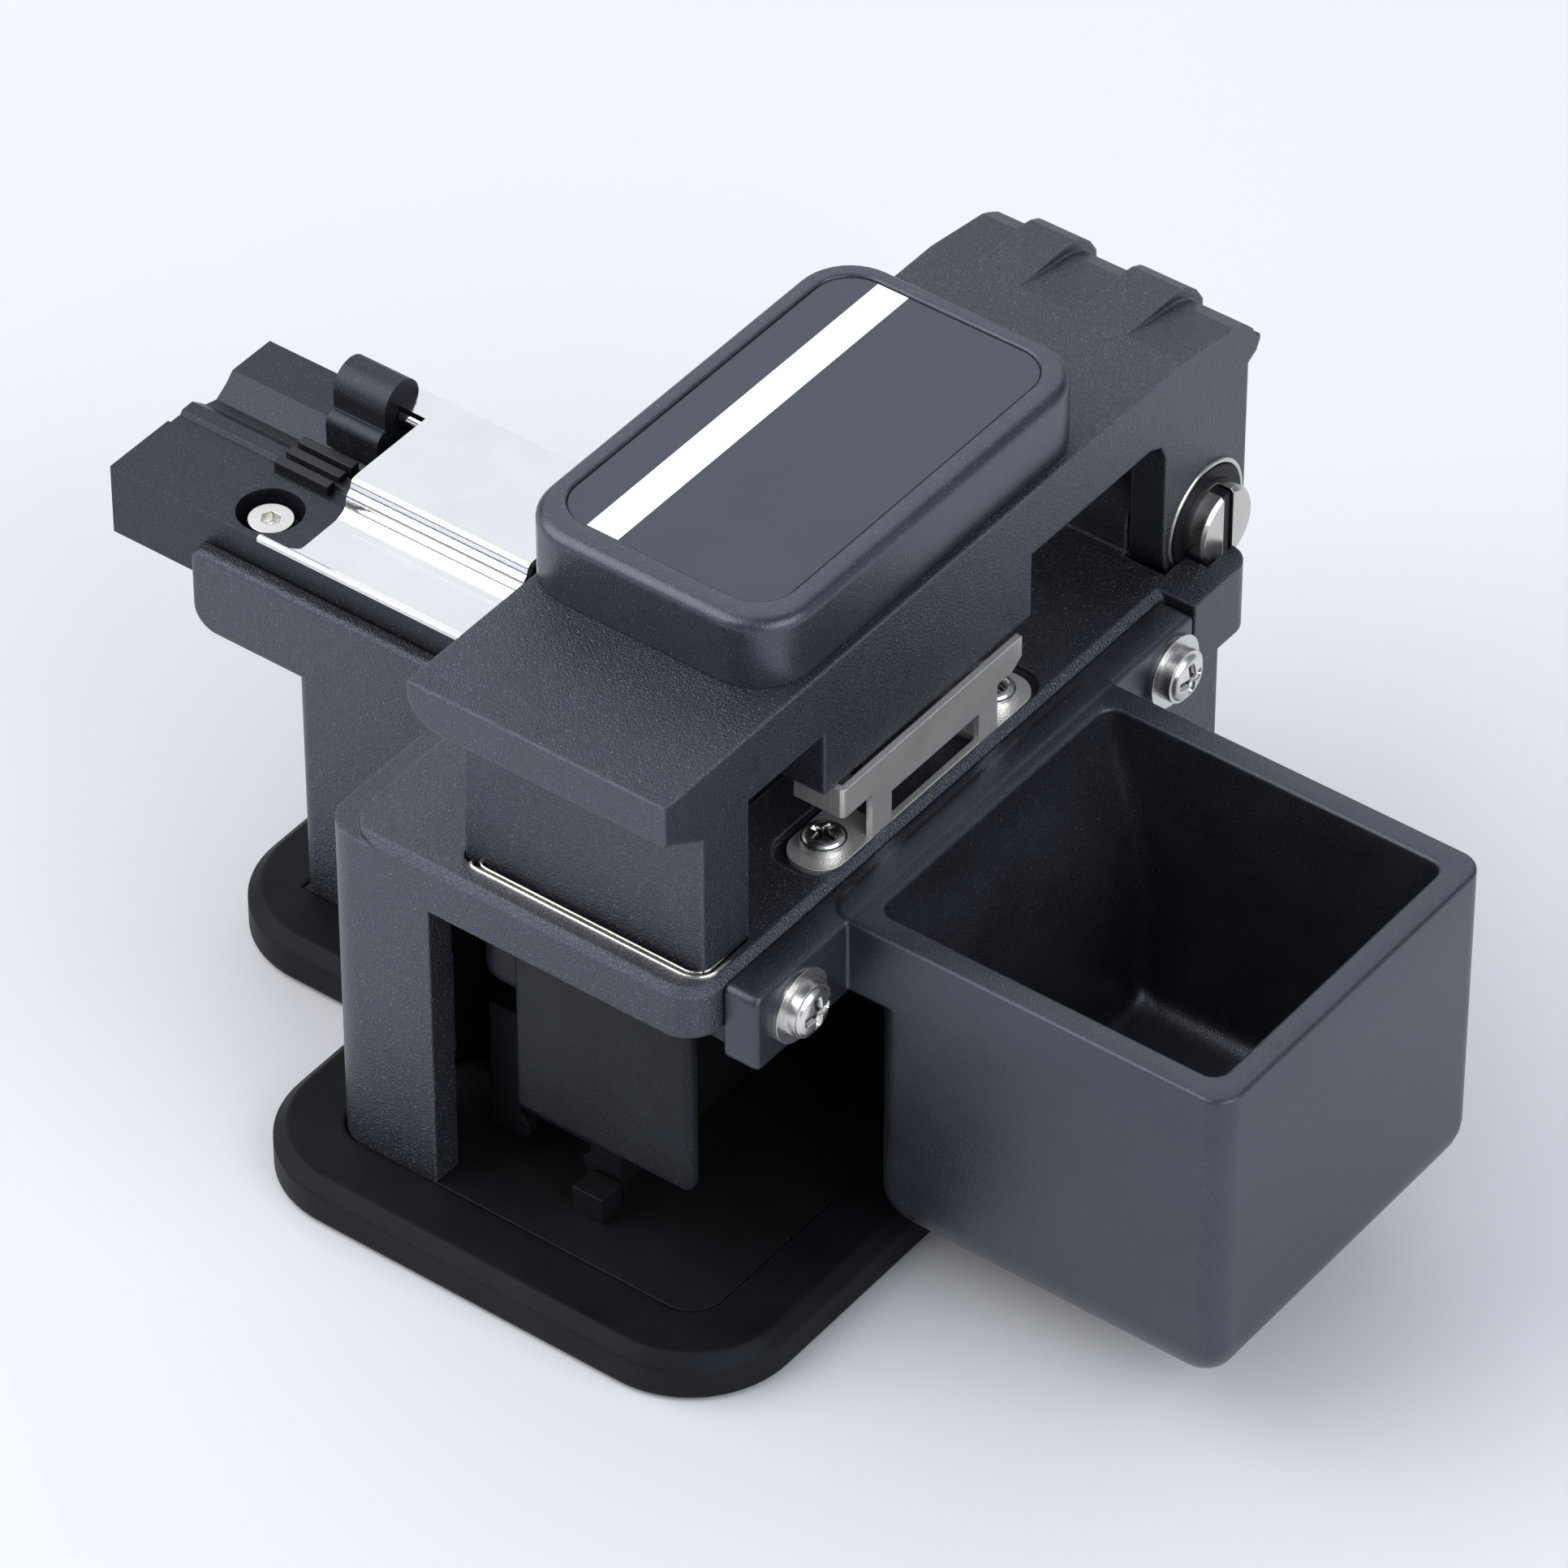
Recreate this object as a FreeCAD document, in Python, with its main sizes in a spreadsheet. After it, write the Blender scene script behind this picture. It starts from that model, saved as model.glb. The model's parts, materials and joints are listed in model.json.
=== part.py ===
"""Bench fibre cleaver: a two-handed scoring and breaking tool for optical fibre.

Millimetres. X runs along the fibre, from its holder to the scrap box. Y runs from the push
block to the lever's pivot, and Z is up. The origin lies on the resting plane, below the
middle of the whole tool. Inside each piece the lengths are taken from the datum: the middle
of the deck in X and the reference line of the body in Y, so one placement serves them all.
"""
import FreeCAD, Part
import math
import os
import re
import Sketcher

V = FreeCAD.Vector

SIZES = {
    # whole tool
    "datum_x": 0.7, "datum_y": -1.25, "fibre_y": -1.2, "play": 0.3, "fit": 0.03,
    # base
    "foot_high": 0.5, "foot_radius": 3.5, "foot_inset": 5.6, "pad_floor": 1.7, "pad_rim": 6.1,
    "pad_lip": 0.05, "pad_edge": 1.1, "pad_corner": 9.5, "pad_fit": 0.15, "plate_thick": 2.0,
    "deck_half": 18.6, "front_reach": 33.9, "rear_reach": 35.6, "deck_top": 37.9,
    "deck_thick": 4.7, "deck_corner": 3.2, "leg_corner": 3.2, "deck_edge": 0.6, "pocket_corner": 1.2,
    "casting_wall": 3.0, "front_wall": 2.8, "window_left": 7.8, "side_wall_front": 4.0,
    "vent_front": 24.6, "vent_rear": 21.6, "vent_low": 1.0, "vent_high": 10.5,
    "step_wide": 2.4, "step_deep": 1.0, "step_rear": 14.5,
    # wing and column below the holder
    "wing_left": 49.4, "wing_low": 26.95, "wing_top": 35.2, "wing_wall": 1.4, "wing_corner": 2.4,
    "wing_round": 0.6, "column_left": 38.6, "column_wall": 2.5, "column_corner": 1.2, "web_round": 2.2,
    # fibre holder and clamp
    "holder_left": 58.8, "holder_front": 11.15, "holder_rear": 9.3,
    "holder_low": 31.2, "holder_top": 38.03, "holder_gap": 0.18, "groove_deep": 1.7,
    "groove_middle": 2.3, "groove_half": 2.2, "slit_deep": 0.35, "slit_middle": 2.9,
    "slit_half": 0.9, "holder_screw_x": 44.8, "holder_screw_y": 7.7, "sink_radius": 2.85,
    "sink_deep": 2.8, "strip_left": 48.1, "strip_long": 5.6, "strip_wide": 0.9,
    "strip_pitch": 1.55, "strip_deep": 0.9, "strip_proud": 0.6,
    "knuckle_y": 5.8, "knuckle_z": 41.8, "lobe_y": 3.6, "lobe_z": 39.2, "lobe_radius": 1.1,
    "hinge_y": 6.4, "hinge_z": 40.5, "knuckle_radius": 2.2, "knuckle_left": 47.3,
    "knuckle_long": 5.4, "hinge_pin_radius": 0.75, "lid_left": 38.4, "lid_right": 21.0,
    "lid_top": 41.9, "lid_thick": 0.8, "lid_bend": 3.5, "lid_flange": 0.05, "lid_hem": 1.6,
    "lid_barrel": 1.35, "lid_gap": 0.35, "lid_rear": 8.2, "lid_notch": 5.4, "hem_long": 4.6,
    "hem_high": 0.7, "lid_pad_half": 1.6, "lid_pad_inset": 1.4, "lid_pad_gap": 0.1,
    "magnet_radius": 1.5, "magnet_thick": 1.5, "clamp_magnet_x": 30.0, "clamp_magnet_y": 8.6,
    # scrap box
    "flange_thick": 3.2, "flange_front": 30.6, "flange_low": 29.8,
    "flange_top": 37.4, "box_front": 18.9, "box_rear": 16.5, "box_low": 6.0,
    "box_step": 30.4, "box_wall": 2.4, "box_corner": 2.2, "box_bottom": 5.0,
    "chute_deep": 4.4, "chute_step": 1.5, "box_inner": 1.3, "chute_lip": 0.9, "ear_screw_front": 25.4,
    "ear_screw_z": 33.6, "lug_low": 31.3, 
    "lug_corner": 2.2, "ear_boss": 3.6, "washer_radius": 3.25, "washer_thick": 0.5,
    # fibre guide bracket
    "sheet_thick": 0.6, "guide_seat": 0.6, 
    "guide_seat_front": 17.2, "guide_seat_rear": 13.2, "guide_top": 45.2, "guide_band": 2.8,
    "guide_front": 13.6, "guide_rear": 9.2, "guide_low_front": 10.4, "guide_low_rear": 6.0,
    "guide_slot_front": 7.9, "guide_slot_rear": 3.6, "guide_slot_low": 38.0,
    "guide_slot_high": 41.0, "guide_curl": 4.8, "tab_front": 16.4,
    "tab_rear": 12.2, "tab_overlap": 1.9, "guide_screw_front": 13.2,
    "guide_screw_rear": 9.0, "tab_corner": 2.4, "curl_round": 1.2,
    # lower fibre pads and blade slot
    "blade_x": 6.0, "slot_half": 1.9, "slot_front": 19.9, "slot_rear": 17.7,
    "fibre_pad_offset": 5.6, "fibre_pad_half": 2.0, "fibre_pad_deep": 2.8,
    "lower_pad_seat": 1.4, "lower_pad_proud": 0.25, "pad_slip": 0.1,
    # slider
    "rail_x": -1.0, "rail_half": 3.5, "rail_high": 4.8, "rail_front": 22.0, 
    "rail_neck": 0.8, "rail_neck_low": 1.6, "rail_neck_high": 3.2, "rail_fit": 0.05,
    "carriage_half": 6.5, "carriage_front": 27.0, "carriage_rear": 1.0, "carriage_low": 6.0,
    "carriage_top": 19.0, "push_left": 1.8, "push_front": 31.0,
    "push_low": 13.8, "push_top": 32.7, "shoulder_left": 5.8, "shoulder_low": 24.7,
    "shoulder_front": 30.5, "shoulder_round": 3.4, "push_round": 0.8, "push_side": 2.0, "stroke": 20.0,
    "stop_long": 2.5, "stop_gap": 0.3, "stop_high": 3.0, "stop_tall": 2.6,
    "blade_radius": 8.0, "blade_thick": 2.6, "blade_rim": 0.6, "blade_y": -11.0,
    "blade_proud": 0.15, "axle_radius": 2.0, "axle_head": 2.6, "axle_head_thick": 1.5,
    "fork_thick": 3.0, "fork_foot": 8.4, "fork_front": 18.0, "fork_rear": 4.0,
    "fork_foot_high": 3.0, "fork_clear": 0.3,
    # lever
    "arm_left": 7.8, "arm_top": 57.9, "plate_low": 54.0, "body_low": 51.6,
    "arm_front": 35.5, "lip_low": 52.6, "lip_round": 3.0,
    "body_left": 6.2, "leg_front": 30.9, "leg_rear": 25.2, "leg_seat": 0.3, "skirt_front": 31.1,
    "block_front": 15.5, "block_rear": 11.45, "block_low": 45.4, "spine_thick": 2.5,
    "grip_deep": 1.3, "rib_wide": 4.9, "rib_gap": 5.6, "grip_corner": 3.0,
    "pivot_z": 39.85, "cheek_radius": 5.6, 
    "cheek_right": 3.3, "cheek_left": 3.5, "boss_gap": 0.4, "notch_gap": 0.5,
    "leg_pocket": 0.6, "leg_pocket_deep": 2.6, "leg_play": 0.35,
    "pin_radius": 3.47, "pin_out": 2.4, "pin_slot": 1.3, "pin_slot_deep": 1.6,
    "bush_radius": 4.1, "bush_flange": 4.65, "bush_rim": 0.35, "boss_cut": 5.2,
    # cap and label
    "cap_left": 9.0, "cap_front": 21.2, "cap_rear": 20.8, "cap_high": 6.4,
    "cap_corner": 5.0, "cap_edge": 0.8, "cap_wall": 2.4, "label_left": 7.2, 
    "label_front": 18.6, "label_rear": 19.0, "label_thick": 0.5, "label_deep": 0.7,
    "label_corner": 3.4, "cap_screw_x": 3.6, "cap_screw_front": 17.6, "cap_screw_rear": 15.2,
    "cap_post": 2.2, "cap_bite": 2.4,
    # pressing unit in the lever
    "carrier_left": 3.7, "carrier_front": 7.2, "carrier_rear": 4.8,
    "carrier_low": 39.9, "carrier_top": 50.2, "carrier_gap": 0.2, "upper_pad_seat": 1.0,
    "anvil_half": 1.1, "anvil_deep": 1.8, "anvil_low": 39.0, "anvil_high": 45.0,
    "anvil_gap": 0.1, "anvil_travel": 0.8, "spring_room": 48.6, "spring_wire": 0.2,
    "spring_radius": 0.75, "spring_turns": 3.0,
    "coil_wire": 0.45, "coil_radius": 4.3, "coil_turns": 4.0, "coil_gap": 0.05,
    # fasteners
    "small_screw": 1.0, "cap_head": 1.9, "cap_head_high": 2.0, "hex_flat": 1.5, "hex_deep": 1.0,
    "pan_head": 1.95, "pan_head_high": 1.3, "ear_screw": 1.25, "ear_head": 2.4,
    "ear_head_high": 1.7, "cross_wide": 0.5, "cross_long": 2.2, "cross_deep": 0.8,
    "screw_bite": 4.0,
    # clearances and reaches between pieces
    "holder_clear": 0.4, "lug_long": 8.1, "ear_inset": 3.2, "chute_wall": 1.1, "box_gap": 2.5,
    "box_long": 33.1, "guide_inset": 0.75, "guide_seat_wide": 5.85, "tab_wide": 5.05,
    "tab_screw": 2.65, "arm_gap": 0.25, "push_gap": 0.2, "pivot_inset": 0.3, "lip_out": 1.6,
    "grip_long": 9.2, "rail_gap": 2.6, "cap_inset": 0.8, "label_inset": 2.3,
    "carrier_inset": 2.5,
}

# lengths that follow from others
DERIVED = {
    "plate_bottom": "foot_high + pad_floor",
    "casting_low": "plate_bottom + plate_thick",
    "deck_low": "deck_top - deck_thick",
    "wing_front": "-holder_front - holder_gap - wing_wall",
    "wing_rear": "holder_rear + holder_gap + wing_wall",
    "holder_right": "deck_half + holder_clear",
    "lug_out": "deck_half + flange_thick",
    "lug_front": "rear_reach - lug_long",
    "flange_rear": "lug_front - pad_slip",
    "ear_screw_rear": "flange_rear - ear_inset",
    "chute_left": "lug_out + chute_wall",
    "box_left": "lug_out + box_gap",
    "box_right": "box_left + box_long",
    "guide_out": "deck_half - guide_inset",
    "guide_seat_left": "guide_out - guide_seat_wide",
    "tab_left": "guide_out - tab_wide",
    "guide_screw_x": "guide_out - tab_screw",
    "arm_right": "guide_out - sheet_thick - arm_gap",
    "push_right": "deck_half - casting_wall - push_gap",
    "pivot_y": "rear_reach - pivot_inset",
    "cheek_front": "pivot_y - cheek_radius",
    "arm_rear": "pivot_y + cheek_radius",
    "lip_rear": "arm_rear + lip_out",
    "grip_front": "arm_rear - grip_long",
    "rail_rear": "rear_reach - casting_wall - rail_gap",
    "cap_right": "arm_right - cap_inset",
    "label_right": "cap_right - label_inset",
    "carrier_right": "arm_right - carrier_inset",
    "blade_z": "deck_top + blade_proud - blade_radius",
    "boss_left": "-body_left + cheek_left + boss_gap",
    "boss_right": "arm_right - cheek_right - boss_gap",
    "cap_screw_low": "body_low + cap_head_high + play",
    "cap_screw_long": "arm_top - cap_screw_low + cap_bite",
    "leg_middle": "(arm_right - body_left) / 2",
}

DOC = FreeCAD.newDocument("FibreCleaver")
SHEET = DOC.addObject("Spreadsheet::Sheet", "Sizes")
for row, (alias, size) in enumerate(SIZES.items(), 1):
    SHEET.set(f"A{row}", alias)
    SHEET.set(f"B{row}", str(size))
    SHEET.setAlias(f"B{row}", alias)
DOC.recompute()

WORD = re.compile(r"[a-z][a-z_]*")
PLANES = {"XY": ("XY_Plane", 1), "XZ": ("XZ_Plane", -1), "YZ": ("YZ_Plane", 1)}
AXES = {"X": V(1, 0, 0), "Y": V(0, 1, 0), "Z": V(0, 0, 1)}
NODES = {}


def cell(found):
    """Write one word of a length as a cell, or as the length that it follows from."""
    word = found.group(0)
    if word in DERIVED:
        return f"({link(DERIVED[word])})"
    return "Sizes." * (word in SIZES) + word


def link(text):
    """Write a length for the sheet, from its words."""
    return WORD.sub(cell, str(text))


def value(text):
    """Work out a length from the sheet."""
    return float(SHEET.evalExpression(link(text)))


def place(thing, at, turn=None):
    """Bind an object's place to three lengths, with a fixed turn."""
    spot = V(*[value(length) for length in at])
    thing.Placement = FreeCAD.Placement(spot, turn or FreeCAD.Rotation())
    for letter, length in zip("xyz", at):
        thing.setExpression(f"Placement.Base.{letter}", link(length))


class Piece:
    """One sub-part: a body made of sketched features."""

    def __init__(self, label, at=("datum_x", "datum_y", "0"), turn=None, node=True):
        self.body = DOC.addObject("PartDesign::Body", label)
        self.body.Label = label
        place(self.body, at, turn)
        if node:
            NODES[label] = self.body

    def sketch(self, plane, level):
        """Start a sketch that lies across an axis at a level along it."""
        role, sign = PLANES[plane]
        flat = next(f for f in self.body.Origin.OriginFeatures if f.Role == role)
        sketch = self.body.newObject("Sketcher::SketchObject", "Outline")
        sketch.AttachmentSupport = [(flat, "")]
        sketch.MapMode = "FlatFace"
        sketch.setExpression("AttachmentOffset.Base.z", link(f"({level}) * {sign}"))
        return sketch

    def loop(self, plane, level, points, sketch=None):
        """Draw a closed outline whose corners are bound to lengths."""
        sketch = sketch or self.sketch(plane, level)
        first = sketch.GeometryCount
        spots = [V(value(a), value(b), 0) for a, b in points]
        count = len(spots)
        for n in range(count):
            sketch.addGeometry(Part.LineSegment(spots[n], spots[(n + 1) % count]), False)
        for n in range(count):
            sketch.addConstraint(
                Sketcher.Constraint("Coincident", first + n, 2, first + (n + 1) % count, 1))
        for n, pair in enumerate(points):
            for kind, length in zip(("DistanceX", "DistanceY"), pair):
                rule = Sketcher.Constraint(kind, -1, 1, first + n, 1, value(length))
                index = sketch.addConstraint(rule)
                sketch.setExpression(f"Constraints[{index}]", link(length))
        return sketch

    def rect(self, plane, level, low, high, sketch=None):
        """Draw a rectangle between two opposite corners."""
        corners = [low, (high[0], low[1]), high, (low[0], high[1])]
        return self.loop(plane, level, corners, sketch)

    def ring(self, plane, level, middle, radius):
        """Draw a circle."""
        sketch = self.sketch(plane, level)
        centre = V(value(middle[0]), value(middle[1]), 0)
        sketch.addGeometry(Part.Circle(centre, V(0, 0, 1), value(radius)), False)
        for kind, length in zip(("DistanceX", "DistanceY"), middle):
            index = sketch.addConstraint(Sketcher.Constraint(kind, -1, 1, 0, 3, value(length)))
            sketch.setExpression(f"Constraints[{index}]", link(length))
        index = sketch.addConstraint(Sketcher.Constraint("Radius", 0, value(radius)))
        sketch.setExpression(f"Constraints[{index}]", link(radius))
        return sketch

    def add(self, plane, sketch, length):
        """Extrude an outline along the positive axis."""
        pad = self.body.newObject("PartDesign::Pad", "Pad")
        pad.Profile = sketch
        pad.Reversed = PLANES[plane][1] < 0
        pad.setExpression("Length", link(length))
        DOC.recompute()
        return pad

    def cut(self, plane, sketch, length):
        """Cut an outline away along the positive axis."""
        before = self.body.Shape.Volume
        pocket = self.body.newObject("PartDesign::Pocket", "Pocket")
        pocket.Profile = sketch
        pocket.Reversed = PLANES[plane][1] > 0
        pocket.setExpression("Length", link(length))
        DOC.recompute()
        if self.body.Shape.Volume >= before - 1e-6:
            raise RuntimeError(f"{self.body.Label}: {pocket.Name} cuts nothing")
        return pocket

    def block(self, low, high, cut=False):
        """Add or cut a box between two opposite corners."""
        sketch = self.rect("XY", low[2], low[:2], high[:2])
        work = self.cut if cut else self.add
        return work("XY", sketch, f"({high[2]}) - ({low[2]})")

    def prism(self, plane, span, points, cut=False):
        """Add or cut an outline between two levels along its axis."""
        sketch = self.loop(plane, span[0], points)
        work = self.cut if cut else self.add
        return work(plane, sketch, f"({span[1]}) - ({span[0]})")

    def disc(self, plane, span, middle, radius, cut=False):
        """Add or cut a cylinder between two levels along its axis."""
        sketch = self.ring(plane, span[0], middle, radius)
        work = self.cut if cut else self.add
        return work(plane, sketch, f"({span[1]}) - ({span[0]})")

    def layered(self, outlines):
        """Join outlines, one above the other, with flat sides."""
        feature = self.body.newObject("PartDesign::AdditiveLoft", "Layered")
        feature.Profile = outlines[0]
        feature.Sections = outlines[1:]
        feature.Ruled = True
        DOC.recompute()
        return feature

    def turned(self, points):
        """Turn a half outline, radius by height, about Z."""
        sketch = self.loop("XZ", "0", points)
        feature = self.body.newObject("PartDesign::Revolution", "Turned")
        feature.Profile = sketch
        feature.ReferenceAxis = (sketch, ["V_Axis"])
        feature.Angle = 360
        DOC.recompute()
        return feature

    def edges(self, axis, spots):
        """Find the straight edges along an axis that pass through given spots."""
        others = [n for n, letter in enumerate("XYZ") if letter != axis]
        places = [[value(length) for length in spot] for spot in spots]
        names = []
        for n, edge in enumerate(self.body.Tip.Shape.Edges, 1):
            if not isinstance(edge.Curve, (Part.Line, Part.LineSegment)):
                continue
            ends = [edge.Vertexes[0].Point, edge.Vertexes[-1].Point]
            if abs((ends[1] - ends[0]).normalize().dot(AXES[axis])) < 0.999:
                continue
            for spot in places:
                if all(abs(ends[0][k] - spot[i]) < 0.01 for i, k in enumerate(others)):
                    names.append(f"Edge{n}")
        if not names:
            raise RuntimeError(f"{self.body.Label}: no edge along {axis} at {spots}")
        return names

    def level_edges(self, level, spare=("0", "0", "0", "0")):
        """Find every edge that lies wholly at one height, but for those in a rectangle."""
        high, left, front, right, rear = [value(length) for length in (level, *spare)]
        boxes = [edge.BoundBox for edge in self.body.Tip.Shape.Edges]
        return [f"Edge{n}" for n, box in enumerate(boxes, 1)
                if abs(box.ZMin - high) < 1e-3 and abs(box.ZMax - high) < 1e-3
                and not (box.XMin > left - 0.01 and box.XMax < right + 0.01
                         and box.YMin > front - 0.01 and box.YMax < rear + 0.01)]

    def dress(self, kind, names, size):
        """Round or bevel edges."""
        base = self.body.Tip
        feature = self.body.newObject(f"PartDesign::{kind}", kind)
        feature.Base = (base, names)
        prop = "Radius" if kind == "Fillet" else "Size"
        feature.setExpression(prop, link(size))
        DOC.recompute()
        if "Invalid" in feature.State or feature.Shape.isNull():
            raise RuntimeError(f"{self.body.Label}: {kind} {size} on {names} failed")
        return feature

    def round(self, axis, spots, radius):
        """Round the straight edges at the given spots."""
        return self.dress("Fillet", self.edges(axis, spots), radius)


def repeat(label, piece, spots, turn=None):
    """Put linked copies of one piece at several spots, as one node of separate solids."""
    links = []
    for spot in spots:
        copy = DOC.addObject("App::Link", label + "_copy")
        copy.LinkedObject = piece.body
        place(copy, spot, turn)
        links.append(copy)
    group = DOC.addObject("Part::Compound", label)
    group.Links = links
    group.Label = label
    NODES[label] = group
    return group


# outlines shared by pieces that seat on each other

def footprint(grow="0"):
    """Outline of the casting's foot, grown by a clearance."""
    return [
        (f"-deck_half - {grow}", f"-front_reach - {grow}"),
        (f"deck_half + {grow}", f"-front_reach - {grow}"),
        (f"deck_half + {grow}", f"rear_reach + {grow}"),
        (f"-deck_half - {grow}", f"rear_reach + {grow}"),
        (f"-deck_half - {grow}", f"wing_rear + {grow}"),
        (f"-column_left - {grow}", f"wing_rear + {grow}"),
        (f"-column_left - {grow}", f"wing_front - {grow}"),
        (f"-deck_half - {grow}", f"wing_front - {grow}"),
    ]


CAP_SPOTS = [("cap_screw_x", "-cap_screw_front"), ("cap_screw_x", "cap_screw_rear")]
SCREW_SPOTS = [("-deck_half + 5", "-front_reach + 1.4"), ("-deck_half + 1.5", "rear_reach - 8"),
               ("deck_half - 1.5", "rear_reach - 8"), ("-column_left + 1.25", "0")]


def rubber_pad():
    """Rubber boot that wraps the foot of the casting."""
    pad = Piece("rubber_pad")
    low, high = "foot_high", "casting_low + pad_lip"
    pad.prism("XY", (low, high), footprint("pad_rim"))
    outer = [(f"{side}(deck_half + pad_rim)", y) for side, y in
             (("-", "-front_reach - pad_rim"), ("", "-front_reach - pad_rim"),
              ("", "rear_reach + pad_rim"), ("-", "rear_reach + pad_rim"))]
    outer += [("-column_left - pad_rim", "wing_front - pad_rim"),
              ("-column_left - pad_rim", "wing_rear + pad_rim")]
    pad.round("Z", outer, "pad_corner")
    pad.dress("Chamfer", pad.level_edges(high), "pad_edge")
    pad.prism("XY", ("plate_bottom", f"{high} + 1"), footprint("pad_fit"), cut=True)
    pad.round("Z", [("-deck_half - pad_fit", "-front_reach - pad_fit"),
                    ("deck_half + pad_fit", "-front_reach - pad_fit"),
                    ("-deck_half - pad_fit", "rear_reach + pad_fit")], "leg_corner")


def rubber_feet():
    """Round feet under the corners of the boot."""
    foot = Piece("foot", ("0", "0", "0"), node=False)
    foot.disc("XY", ("0", "foot_high"), ("0", "0"), "foot_radius")
    x, front, rear = "deck_half + pad_rim - foot_inset", "front_reach + pad_rim - foot_inset", \
        "rear_reach + pad_rim - foot_inset"
    spots = [(f"datum_x + {sx}({x})", f"datum_y + {y}", "0")
             for sx in ("", "-") for y in (f"-({front})", rear)]
    spots.append(("datum_x - column_left", "datum_y", "0"))
    repeat("rubber_feet", foot, spots)


def base_plate():
    """Steel floor that closes the casting and carries the rail."""
    plate = Piece("base_plate")
    plate.prism("XY", ("plate_bottom", "casting_low"), footprint())
    plate.round("Z", [("-deck_half", "-front_reach"), ("deck_half", "-front_reach"),
                      ("-deck_half", "rear_reach")], "leg_corner")
    for x, y in SCREW_SPOTS:
        plate.disc("XY", ("plate_bottom", "casting_low"), (x, y), "small_screw + fit", cut=True)


def base_screws():
    """Screws from below through the floor into the casting."""
    screw = Piece("base_screw", ("0", "0", "0"), node=False)
    screw.disc("XY", ("plate_bottom", "casting_low + screw_bite"), ("0", "0"), "small_screw")
    repeat("base_screws", screw, [(f"datum_x + {x}", f"datum_y + {y}", "0")
                                  for x, y in SCREW_SPOTS])


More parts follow.
